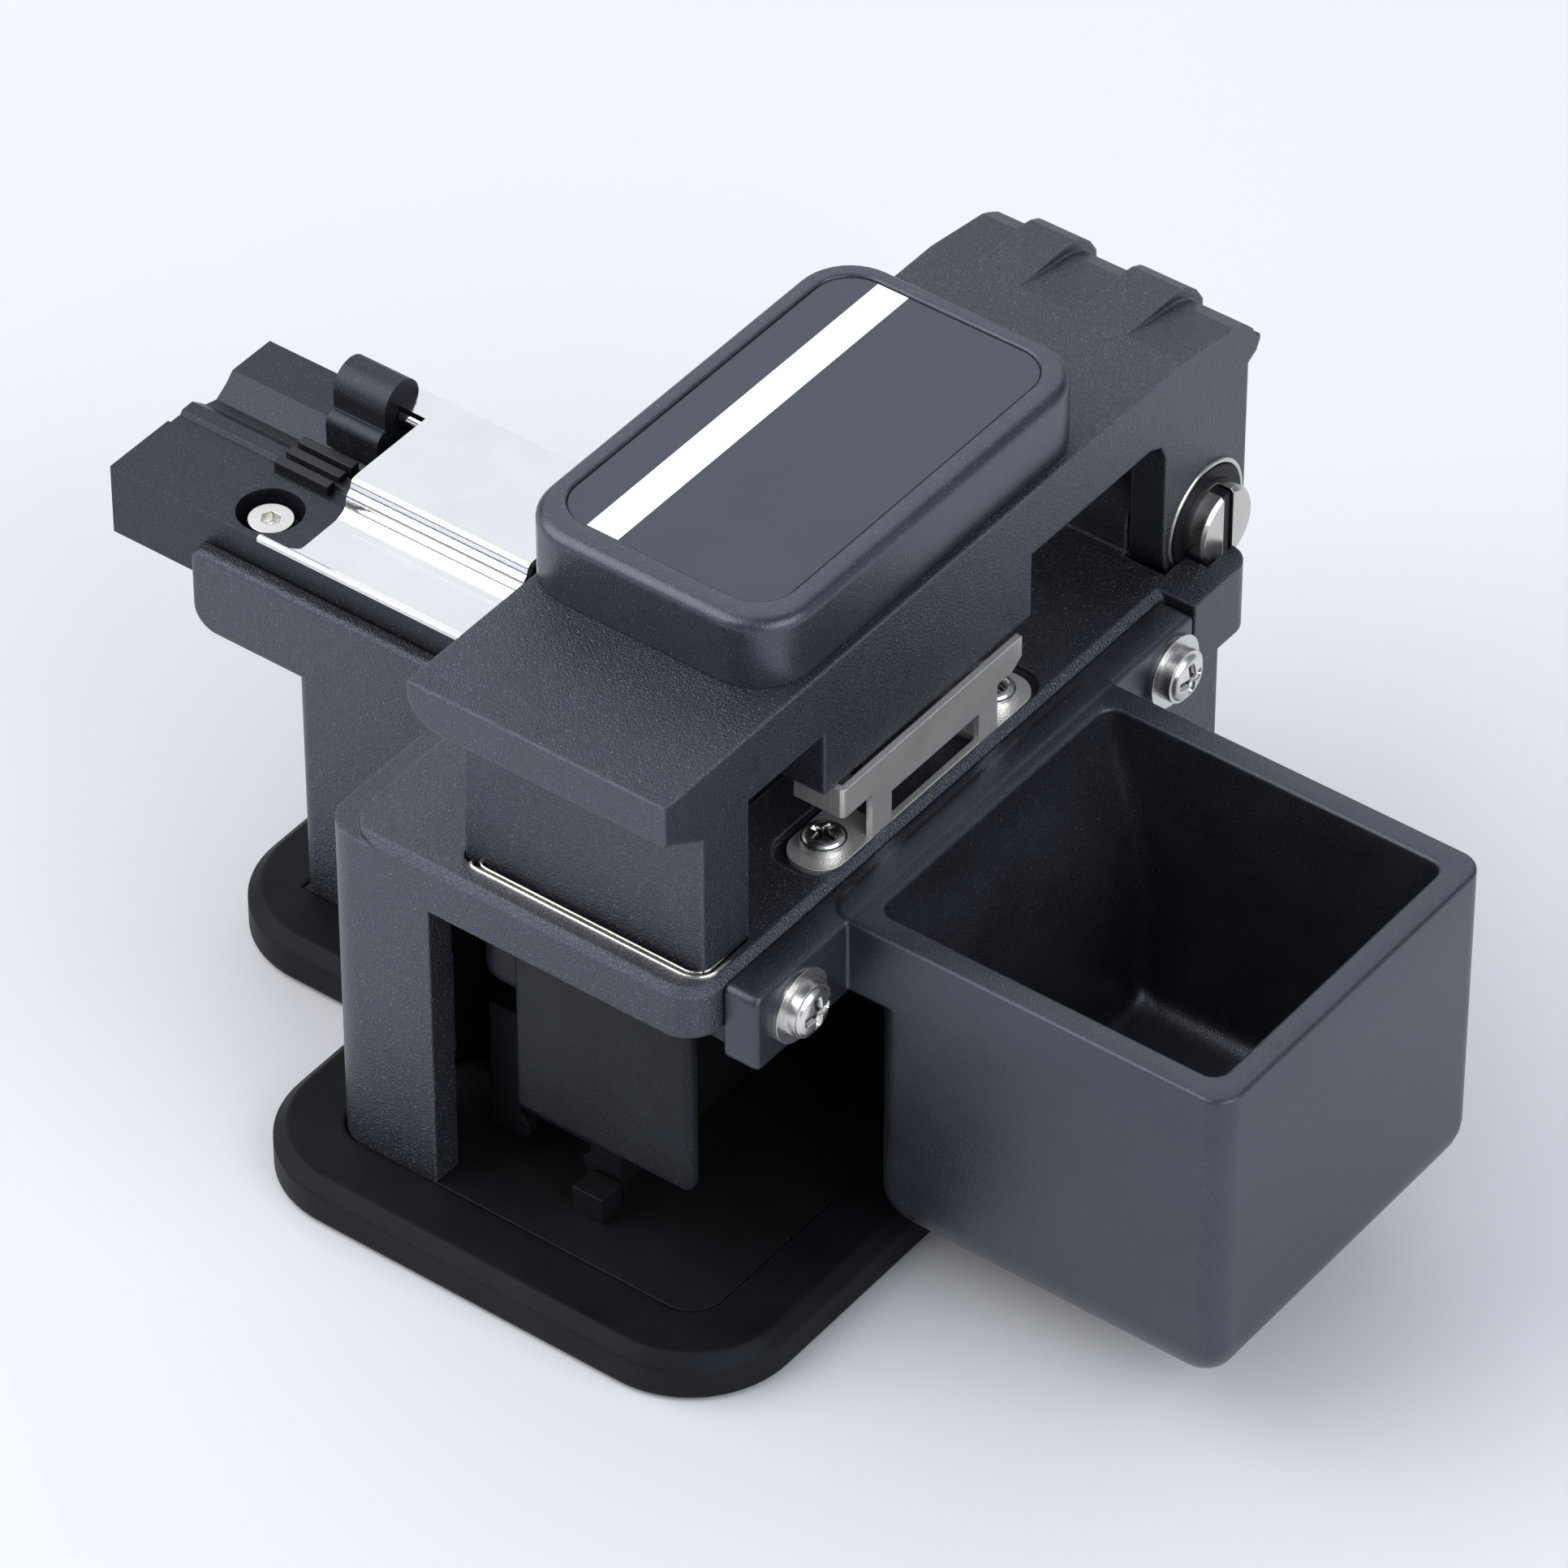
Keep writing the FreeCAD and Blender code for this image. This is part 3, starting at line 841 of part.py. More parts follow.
def arm():
    """Lever: ribbed top plate, front leg, pressing block and two cheeks behind."""
    lever = Piece("arm")
    lever.block(("-arm_left", "-arm_front", "plate_low"), ("arm_right", "arm_rear - 4", "arm_top"))
    lever.round("Y", [("-arm_left", "plate_low")], "lip_round")
    lever.prism("YZ", ("-body_left", "arm_right"), [
        ("-arm_front + 0.4", "plate_low"), ("-skirt_front", "body_low"), ("arm_rear", "body_low"),
        ("arm_rear", "plate_low")])
    lever.prism("YZ", ("-arm_left", "arm_right"), [
        ("arm_rear - 4", "arm_top"), ("arm_rear - 4", "lip_low + 1"), ("arm_rear", "lip_low - 0.6"),
        ("lip_rear - 0.5", "lip_low"), ("lip_rear", "lip_low + 0.9"),
        ("lip_rear - 0.1", "lip_low + 2.4"), ("arm_rear + 0.6", "arm_top - 1.5"),
        ("arm_rear - 0.3", "arm_top - 0.7"), ("arm_rear - 1.4", "arm_top - 0.2"),
        ("arm_rear - 2.6", "arm_top")])
    # grip: three troughs that fall away towards the rear, between raised ribs
    for left, right in (("-arm_left - 1", "-arm_left + 4.2"),
                        ("arm_right - rib_gap * 2 - rib_wide", "arm_right - rib_gap - rib_wide"),
                        ("arm_right - rib_gap", "arm_right + 1")):
        lever.prism("YZ", (left, right), [
            ("grip_front", "arm_top"), ("arm_rear - 2.2", "arm_top - grip_deep * 0.8"),
            ("arm_rear - 0.4", "arm_top - grip_deep - 0.5"),
            ("arm_rear + 0.5", "arm_top - grip_deep - 1.4"), ("lip_rear - 0.5", "lip_low + 1.4"),
            ("lip_rear + 1", "lip_low + 1.4"), ("lip_rear + 1", "arm_top + 1"),
            ("grip_front", "arm_top + 1")], cut=True)
    lever.prism("XY", ("lip_low - 2", "arm_top + 1"), [
        ("-arm_left - 1", "lip_rear + 1"), ("-arm_left - 1", "lip_rear - grip_corner"),
        ("-arm_left", "lip_rear - grip_corner"),
        ("-arm_left + grip_corner * 0.134", "lip_rear - grip_corner * 0.5"),
        ("-arm_left + grip_corner * 0.5", "lip_rear - grip_corner * 0.134"),
        ("-arm_left + grip_corner", "lip_rear"), ("-arm_left + grip_corner", "lip_rear + 1")],
                cut=True)
    lever.block(("-body_left", "-leg_front", "deck_top - leg_pocket_deep + leg_seat"),
                ("arm_right", "-leg_rear", "body_low"))
    lever.block(("-body_left", "-block_front", "block_low"), ("arm_right", "block_rear", "body_low"))
    lever.block(("-body_left", "-leg_rear", "block_low"),
                ("-body_left + spine_thick", "arm_rear", "body_low"))
    for left, right in (("-body_left", "-body_left + cheek_left"),
                        ("arm_right - cheek_right", "arm_right")):
        lever.prism("YZ", (left, right), [
            ("cheek_front", "pivot_z"), ("arm_rear", "pivot_z"), ("arm_rear", "body_low"),
            ("cheek_front - web_round", "body_low"),
            ("cheek_front - web_round * 0.3", "body_low - web_round * 0.3"),
            ("cheek_front", "body_low - web_round")])
        lever.disc("YZ", (left, right), ("pivot_y", "pivot_z"), "cheek_radius")
        lever.disc("YZ", (left, right), ("pivot_y", "pivot_z"), "bush_radius", cut=True)
    # screw holes for the cap, and room for the pressing unit
    for x, y in CAP_SPOTS:
        lever.disc("XY", ("body_low", "cap_screw_low"), (x, y), "cap_head + pad_slip", cut=True)
        lever.disc("XY", ("body_low", "arm_top"), (x, y), "small_screw + fit", cut=True)
    lever.block(("-carrier_left - carrier_gap", "-carrier_front - carrier_gap", "block_low"),
                ("carrier_right + carrier_gap", "carrier_rear + carrier_gap", "carrier_top"),
                cut=True)
    lever.disc("XY", ("deck_top - leg_pocket_deep + leg_seat",
                      "deck_top - leg_pocket_deep + leg_seat + magnet_thick"),
               ("leg_middle", "-(leg_front + leg_rear) / 2"),
               "magnet_radius + fit", cut=True)


def magnets():
    """Magnets that hold the lever shut."""
    spot = ("leg_middle", "-(leg_front + leg_rear) / 2")
    floor = "deck_top - leg_pocket_deep"
    low = Piece("deck_magnet")
    low.disc("XY", (f"{floor} - magnet_thick", floor), spot, "magnet_radius")
    high = Piece("arm_magnet")
    high.disc("XY", (f"{floor} + leg_seat", f"{floor} + leg_seat + magnet_thick"), spot,
              "magnet_radius")


def arm_cap():
    """Raised cap on the lever, recessed for its label."""
    cap = Piece("arm_cap")
    top = "arm_top + cap_high"
    cap.block(("-cap_left", "-cap_front", "arm_top"), ("cap_right", "cap_rear", top))
    cap.block(("-label_left", "-label_front", f"{top} - label_deep"),
              ("label_right", "label_rear", f"{top} + 1"), cut=True)
    cap.round("Z", [("-label_left", "-label_front"), ("label_right", "-label_front"),
                    ("-label_left", "label_rear"), ("label_right", "label_rear")], "label_corner")
    cap.round("Z", [("-cap_left", "-cap_front"), ("cap_right", "-cap_front"),
                    ("-cap_left", "cap_rear"), ("cap_right", "cap_rear")], "cap_corner")
    label = ("-label_left", "-label_front", "label_right", "label_rear")
    cap.dress("Chamfer", cap.level_edges(top, label), "cap_edge")
    cap.block(("-arm_left + cap_wall", "-cap_front + cap_wall", "arm_top"),
              ("cap_right - cap_wall", "cap_rear - cap_wall", f"{top} - label_deep - cap_wall"),
              cut=True)
    for x, y in CAP_SPOTS:
        cap.disc("XY", ("arm_top", f"{top} - label_deep - cap_wall / 2"), (x, y), "cap_post")
        cap.disc("XY", ("arm_top", "cap_screw_low + cap_screw_long"), (x, y),
                 "small_screw + fit", cut=True)


def cap_screws():
    """Cap screws driven up through the lever into the cap."""
    screw = socket_screw("cap_screw", ("0", "0", "0"), "cap_screw_long", node=False)
    repeat("cap_screws", screw, [(f"datum_x + {x}", f"datum_y + {y}", "cap_screw_low")
                                 for x, y in CAP_SPOTS], FreeCAD.Rotation(V(1, 0, 0), 180))


def label_plate():
    """Plain plate let into the cap."""
    plate = Piece("label_plate")
    low = "arm_top + cap_high - label_deep"
    inset = "pad_slip"
    plate.block((f"-label_left + {inset}", f"-label_front + {inset}", low),
                (f"label_right - {inset}", f"label_rear - {inset}", f"{low} + label_thick"))
    plate.round("Z", [(f"-label_left + {inset}", f"-label_front + {inset}"),
                      (f"label_right - {inset}", f"-label_front + {inset}"),
                      (f"-label_left + {inset}", f"label_rear - {inset}"),
                      (f"label_right - {inset}", f"label_rear - {inset}")],
                f"label_corner - {inset}")


def pivot_parts():
    """Slotted pivot pin in two flanged bushings."""
    sideways = FreeCAD.Rotation(V(0, 1, 0), 90)
    pin = Piece("pivot_pin", ("datum_x", "datum_y + pivot_y", "pivot_z"), sideways)
    end = "arm_right + pin_out"
    start = "-body_left - bush_rim"
    pin.turned([("0", start), ("pin_radius", start), ("pin_radius", f"{end} - 0.3"),
                ("pin_radius - 0.3", end), ("0", end)])
    pin.block(("-pin_radius - 1", "-pin_slot / 2", f"{end} - pin_slot_deep"),
              ("pin_radius + 1", "pin_slot / 2", f"{end} + 1"), cut=True)
    for_right = [("pin_radius + fit", "0"), ("bush_radius", "0"), ("bush_radius", "cheek_right"),
                 ("bush_flange", "cheek_right"), ("bush_flange", "cheek_right + bush_rim"),
                 ("pin_radius + fit", "cheek_right + bush_rim")]
    right = Piece("pivot_bushing_right", ("datum_x + arm_right - cheek_right", "datum_y + pivot_y",
                                          "pivot_z"), sideways)
    right.turned(for_right)
    left = Piece("pivot_bushing_left", ("datum_x - body_left + cheek_left", "datum_y + pivot_y",
                                        "pivot_z"), FreeCAD.Rotation(V(0, 1, 0), -90))
    left.turned([(radius, height.replace("cheek_right", "cheek_left")) for radius, height in for_right])


def pressing_unit():
    """Carrier, anvil and its spring inside the lever's block."""
    carrier = Piece("pad_carrier")
    carrier.block(("-carrier_left", "-carrier_front", "carrier_low"),
                  ("carrier_right", "carrier_rear", "carrier_top"))
    for side in ("-", "+"):
        middle = f"blade_x {side} fibre_pad_offset"
        carrier.block((f"{middle} - fibre_pad_half", "fibre_y - fibre_pad_deep", "carrier_low"),
                      (f"{middle} + fibre_pad_half", "fibre_y + fibre_pad_deep",
                       "carrier_low + upper_pad_seat"), cut=True)
    gap = "anvil_gap"
    carrier.block((f"blade_x - anvil_half - {gap}", f"fibre_y - anvil_deep - {gap}", "carrier_low"),
                  (f"blade_x + anvil_half + {gap}", f"fibre_y + anvil_deep + {gap}", "spring_room"),
                  cut=True)
    tip = Piece("anvil")
    tip.block(("blade_x - anvil_half", "fibre_y - anvil_deep", "anvil_low"),
              ("blade_x + anvil_half", "fibre_y + anvil_deep", "anvil_high"))


def springs():
    """Anvil's compression spring and the lever's torsion spring."""
    low, high = value("anvil_high + spring_wire"), value("spring_room - spring_wire")
    turns = value("spring_turns")
    spring = coil(value("spring_radius"), (high - low) / turns, turns, value("spring_wire"), 10)
    spot = V(value("datum_x + blade_x"), value("datum_y + fibre_y"), low)
    feature("anvil_spring", spring, FreeCAD.Placement(spot, FreeCAD.Rotation()))
    pitch = value("coil_wire * 2 + coil_gap")
    spring = coil(value("coil_radius"), pitch, value("coil_turns"), value("coil_wire"), 16)
    start = value("datum_x + boss_left + coil_wire + pad_slip")
    spot = V(start, value("datum_y + pivot_y"), value("pivot_z"))
    feature("arm_spring", spring, FreeCAD.Placement(spot, FreeCAD.Rotation(V(0, 1, 0), 90)))


def coil(radius, pitch, turns, wire, steps):
    """Sweep a wire of six sides along a helix about Z, in straight runs."""
    angle = 2 * math.pi / steps
    path = [V(radius * math.cos(angle * n), radius * math.sin(angle * n), pitch * n / steps)
            for n in range(round(turns * steps) + 1)]
    way = (path[1] - path[0]).normalize()
    out = AXES["X"]
    side = way.cross(out)
    ring = [path[0] + out * (wire * math.cos(math.pi / 3 * n))
            + side * (wire * math.sin(math.pi / 3 * n)) for n in range(6)]
    sweep = Part.BRepOffsetAPI.MakePipeShell(Part.makePolygon(path))
    sweep.setFrenetMode(False)
    sweep.setTransitionMode(1)
    sweep.add(Part.makePolygon(ring + ring[:1]))
    sweep.build()
    sweep.makeSolid()
    return sweep.shape()


def feature(label, shape, placement):
    """Keep a shape that no sketched feature makes."""
    thing = DOC.addObject("Part::Feature", label)
    thing.Label = label
    thing.Shape = shape
    thing.Placement = placement
    NODES[label] = thing


def build():
    """Make every sub-part."""
    rubber_pad()
    rubber_feet()
    base_plate()
    base_screws()
    base_casting()
    fibre_holder()
    holder_strips()
    socket_screw("holder_screw", ("datum_x - holder_screw_x", "datum_y - holder_screw_y",
                                  "holder_top - sink_deep"), "holder_top - sink_deep - wing_low - 0.6")
    clamp_lid()
    clamp_small_parts()
    scrap_box()
    scrap_box_fasteners()
    guide_bracket()
    guide_screws()
    fibre_pads()
    slide_rail()
    rail_screws()
    slide_stops()
    slider_carriage()
    push_block()
    blade_holder()
    blade_wheel()
    blade_axle()
    arm()
    magnets()
    arm_cap()
    cap_screws()
    label_plate()
    pivot_parts()
    pressing_unit()
    springs()


def check_and_write():
    """Check every object, then write one file for each sub-part."""
    DOC.recompute()
    for thing in DOC.Objects:
        if {"Invalid", "Error"} & set(thing.State):
            raise RuntimeError(f"{thing.Label} failed: {thing.State}")
    os.makedirs("parts", exist_ok=True)
    for label, thing in NODES.items():
        shape = thing.Shape
        if shape.isNull() or not shape.isValid() or not shape.Solids:
            raise RuntimeError(f"{label} has no valid solid")
        shape.exportStep(f"parts/{label}.step")
        box = shape.BoundBox
        print(f"{label}: {len(shape.Solids)} solids, {shape.Volume:.1f} mm3,"
              f" x {box.XMin:.1f}..{box.XMax:.1f} y {box.YMin:.1f}..{box.YMax:.1f}"
              f" z {box.ZMin:.2f}..{box.ZMax:.2f}")


build()
check_and_write()
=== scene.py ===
import json
import logging
import math
from dataclasses import dataclass
from enum import Enum
from typing import Any, Sequence

import bmesh
import bpy
from mathutils import Matrix, Vector


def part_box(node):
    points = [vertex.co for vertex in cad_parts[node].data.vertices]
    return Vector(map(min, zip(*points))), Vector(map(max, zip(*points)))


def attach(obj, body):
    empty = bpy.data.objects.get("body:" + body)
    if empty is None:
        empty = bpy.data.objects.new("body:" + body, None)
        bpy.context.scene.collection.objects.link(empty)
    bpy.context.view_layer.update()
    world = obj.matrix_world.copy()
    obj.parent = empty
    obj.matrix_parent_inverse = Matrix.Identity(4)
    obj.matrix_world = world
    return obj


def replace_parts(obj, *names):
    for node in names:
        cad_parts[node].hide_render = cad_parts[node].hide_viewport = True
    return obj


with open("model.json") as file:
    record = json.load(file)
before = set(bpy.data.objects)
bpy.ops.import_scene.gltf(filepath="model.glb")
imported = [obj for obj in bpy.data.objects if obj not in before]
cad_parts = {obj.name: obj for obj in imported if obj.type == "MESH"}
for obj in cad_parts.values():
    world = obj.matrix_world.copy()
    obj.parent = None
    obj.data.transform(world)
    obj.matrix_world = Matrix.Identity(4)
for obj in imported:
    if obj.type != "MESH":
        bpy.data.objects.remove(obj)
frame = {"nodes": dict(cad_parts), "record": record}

LOG = logging.getLogger("fibre_cleaver")
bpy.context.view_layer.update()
MM = 0.001
Flat = tuple[float, float]
Point = tuple[float, float, float]
Colour = tuple[float, float, float]
FINISH_TAG = "_finish"
# Size and colour of painted glints: bright spots that stand in for the sparkle highlights of the grain.
GLINT_SIZE = 0.13 * MM
GLINT_COLOUR: Colour = (0.34, 0.36, 0.42)
PLASTIC_TINT = (0.78, 0.84, 1.0, 1.0)
# Black parts deep inside take the darkest finish: their own black, darkened further as painted shade.
SHADED_INNER_PARTS = ("base_plate", "slide_stops", "slider_carriage", "blade_holder", "pivot_bushing_right")


class Grain(Enum):
    """How the fine relief of a finish is laid out."""

    FINE = "fine"
    BRUSHED_X = "brushed_x"
    BRUSHED_Y = "brushed_y"
    BRUSHED_Z = "brushed_z"
    TURNED = "turned"


STRETCH: dict[Grain, Point] = {
    Grain.FINE: (1.0, 1.0, 1.0),
    Grain.BRUSHED_X: (0.02, 1.0, 1.0),
    Grain.BRUSHED_Y: (1.0, 0.02, 1.0),
    Grain.BRUSHED_Z: (1.0, 1.0, 0.03),
    Grain.TURNED: (0.15, 1.0, 1.0),
}


class Body(Enum):
    """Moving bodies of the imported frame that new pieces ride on."""

    BASE = "base"
    LEVER = "lever"
    SLIDER = "slider"
    CLAMP = "clamp"


@dataclass(frozen=True)
class Finish:
    """One surface finish and the numbers that its shader needs.

    Lengths are in millimetres.
    """

    slot: str
    colour: Colour
    roughness: float
    metallic: float = 0.0
    grain: Grain = Grain.FINE
    grain_size: float = 0.25
    relief: float = 0.2
    mottle: float = 0.15
    edge: float = 0.25
    wear_and_highlight: float = 0.35
    specular: float = 0.5
    painted_glint: float = 0.0

    def build(self) -> bpy.types.Material:
        """Make the finish's node material.

        Returns:
            The material, ready for an object's slot.
        """
        graph = Graph(self.slot)
        spots = graph.add("ShaderNodeTexCoord").outputs["Object"]
        broad = graph.noise(spots, 1 / (6 * MM), 5.0)
        shade = graph.ramp(broad, 0.3, 0.7)
        dark = tuple(c * (1 - self.mottle) for c in self.colour)
        light = tuple(min(1.0, c * (1 + self.mottle)) for c in self.colour)
        base = graph.mix(shade, dark, light)
        fine = graph.noise(graph.stretch(spots, self.grain), 1 / (self.grain_size * MM), 3.0)
        soft = graph.bevel(self.edge * MM) if self.edge else graph.flat()
        # Edges are lightened in the colour: partly real wear, partly a painted highlight where rounded
        # edges catch the light.
        rim = graph.edge_mask(soft, fine)
        bright = tuple(min(1.0, c * (1 + 2.2 * self.wear_and_highlight) + 0.05 * self.wear_and_highlight) for c in self.colour)
        base = graph.mix(graph.scale(rim, self.wear_and_highlight), base, bright)
        # Painted glints: bright bluish spots mixed into the colour in place of sparkle highlights.
        if self.painted_glint:
            glint = graph.ramp(graph.noise(spots, 1 / GLINT_SIZE, 1.0), 0.66, 0.76)
            base = graph.mix(graph.scale(glint, self.painted_glint), base, GLINT_COLOUR)
        graph.join(base, graph.shader.inputs["Base Color"])
        spread = graph.add("ShaderNodeMapRange")
        spread.inputs["To Min"].default_value = max(0.02, self.roughness * 0.88)
        spread.inputs["To Max"].default_value = min(1.0, self.roughness * 1.14)
        graph.join(graph.blend(fine, broad), spread.inputs["Value"])
        graph.join(spread.outputs["Result"], graph.shader.inputs["Roughness"])
        bump = graph.add("ShaderNodeBump")
        bump.inputs["Strength"].default_value = self.relief
        bump.inputs["Distance"].default_value = self.grain_size * MM * 0.4
        graph.join(fine, bump.inputs["Height"])
        graph.join(soft, bump.inputs["Normal"])
        graph.join(bump.outputs["Normal"], graph.shader.inputs["Normal"])
        graph.shader.inputs["Metallic"].default_value = self.metallic
        graph.shader.inputs["Specular IOR Level"].default_value = self.specular
        if not self.metallic:
            graph.shader.inputs["Specular Tint"].default_value = PLASTIC_TINT
        return graph.material


class Graph:
    """A small builder for one node material."""

    def __init__(self, name: str) -> None:
        """Start a material with its shader.

        Args:
            name: The material's name.
        """
        self.material = bpy.data.materials.new(name + FINISH_TAG)
        self.material.use_nodes = True
        self.tree = self.material.node_tree
        self.shader = self.tree.nodes["Principled BSDF"]

    def add(self, kind: str, **settings: Any) -> bpy.types.Node:
        """Add a node.

        Args:
            kind: The node's type.
            settings: Its properties.

        Returns:
            The new node.
        """
        node = self.tree.nodes.new(kind)
        for key, setting in settings.items():
            setattr(node, key, setting)
        return node

    def join(self, source: bpy.types.NodeSocket, target: bpy.types.NodeSocket) -> None:
        """Link two sockets.

        Args:
            source: The output.
            target: The input.
        """
        self.tree.links.new(source, target)

    def stretch(self, spots: bpy.types.NodeSocket, grain: Grain) -> bpy.types.NodeSocket:
        """Stretch coordinates so that noise runs along the grain.

        Args:
            spots: The coordinates.
            grain: The way that the relief runs.

        Returns:
            The stretched coordinates.
        """
        node = self.add("ShaderNodeMapping")
        node.inputs["Scale"].default_value = STRETCH[grain]
        self.join(spots, node.inputs["Vector"])
        return node.outputs["Vector"]

    def noise(self, spots: bpy.types.NodeSocket, scale: float, detail: float) -> bpy.types.NodeSocket:
        """Add a noise texture.

        Args:
            spots: The coordinates.
            scale: Features per metre.
            detail: Octaves.

        Returns:
            The noise from 0 to 1.
        """
        node = self.add("ShaderNodeTexNoise")
        node.inputs["Scale"].default_value = scale
        node.inputs["Detail"].default_value = detail
        self.join(spots, node.inputs["Vector"])
        return node.outputs["Fac"]

    def ramp(self, value: bpy.types.NodeSocket, low: float, high: float) -> bpy.types.NodeSocket:
        """Spread a value between two limits.

        Args:
            value: The value.
            low: Where the result is 0.
            high: Where the result is 1.

        Returns:
            The value, clamped from 0 to 1.
        """
        node = self.add("ShaderNodeMapRange")
        node.inputs["From Min"].default_value = low
        node.inputs["From Max"].default_value = high
        self.join(value, node.inputs["Value"])
        return node.outputs["Result"]

    def mix(self, share: bpy.types.NodeSocket, first: Any, second: Any) -> bpy.types.NodeSocket:
        """Mix two colours.

        Args:
            share: How much of the second.
            first: A colour or a socket.
            second: A colour or a socket.

        Returns:
            The mixed colour.
        """
        node = self.add("ShaderNodeMix", data_type="RGBA")
        self.join(share, node.inputs[0])
        for socket, colour in ((node.inputs[6], first), (node.inputs[7], second)):
            if isinstance(colour, bpy.types.NodeSocket):
                self.join(colour, socket)
            else:
                socket.default_value = (*colour, 1.0)
        return node.outputs[2]

    def blend(self, first: bpy.types.NodeSocket, second: bpy.types.NodeSocket) -> bpy.types.NodeSocket:
        """Average two values.

        Args:
            first: One value.
            second: The other.

        Returns:
            Their mean.
        """
        node = self.add("ShaderNodeMix", data_type="FLOAT")
        node.inputs[0].default_value = 0.5
        self.join(first, node.inputs[2])
        self.join(second, node.inputs[3])
        return node.outputs[0]

    def scale(self, value: bpy.types.NodeSocket, by: float) -> bpy.types.NodeSocket:
        """Multiply a value.

        Args:
            value: The value.
            by: The factor.

        Returns:
            The product.
        """
        node = self.add("ShaderNodeMath", operation="MULTIPLY", use_clamp=True)
        node.inputs[1].default_value = by
        self.join(value, node.inputs[0])
        return node.outputs[0]

    def bevel(self, radius: float) -> bpy.types.NodeSocket:
        """Soften the corners' normals, as a small rounding does.

        Args:
            radius: The rounding in metres.

        Returns:
            The softened normal.
        """
        node = self.add("ShaderNodeBevel", samples=6)
        node.inputs["Radius"].default_value = radius
        return node.outputs["Normal"]

    def flat(self) -> bpy.types.NodeSocket:
        """Take the normal as it is.

        Returns:
            The true normal.
        """
        return self.add("ShaderNodeNewGeometry").outputs["Normal"]

    def edge_mask(self, soft: bpy.types.NodeSocket, fine: bpy.types.NodeSocket) -> bpy.types.NodeSocket:
        """Find where the softened normal leaves the true one.

        Args:
            soft: The softened normal.
            fine: Noise that breaks the edge up.

        Returns:
            1 on a corner, 0 on a flat.
        """
        dot = self.add("ShaderNodeVectorMath", operation="DOT_PRODUCT")
        self.join(soft, dot.inputs[0])
        self.join(self.flat(), dot.inputs[1])
        rim = self.ramp(dot.outputs["Value"], 0.995, 0.85)
        broken = self.add("ShaderNodeMath", operation="MULTIPLY", use_clamp=True)
        self.join(rim, broken.inputs[0])
        self.join(self.ramp(fine, 0.3, 0.55), broken.inputs[1])
        return broken.outputs[0]


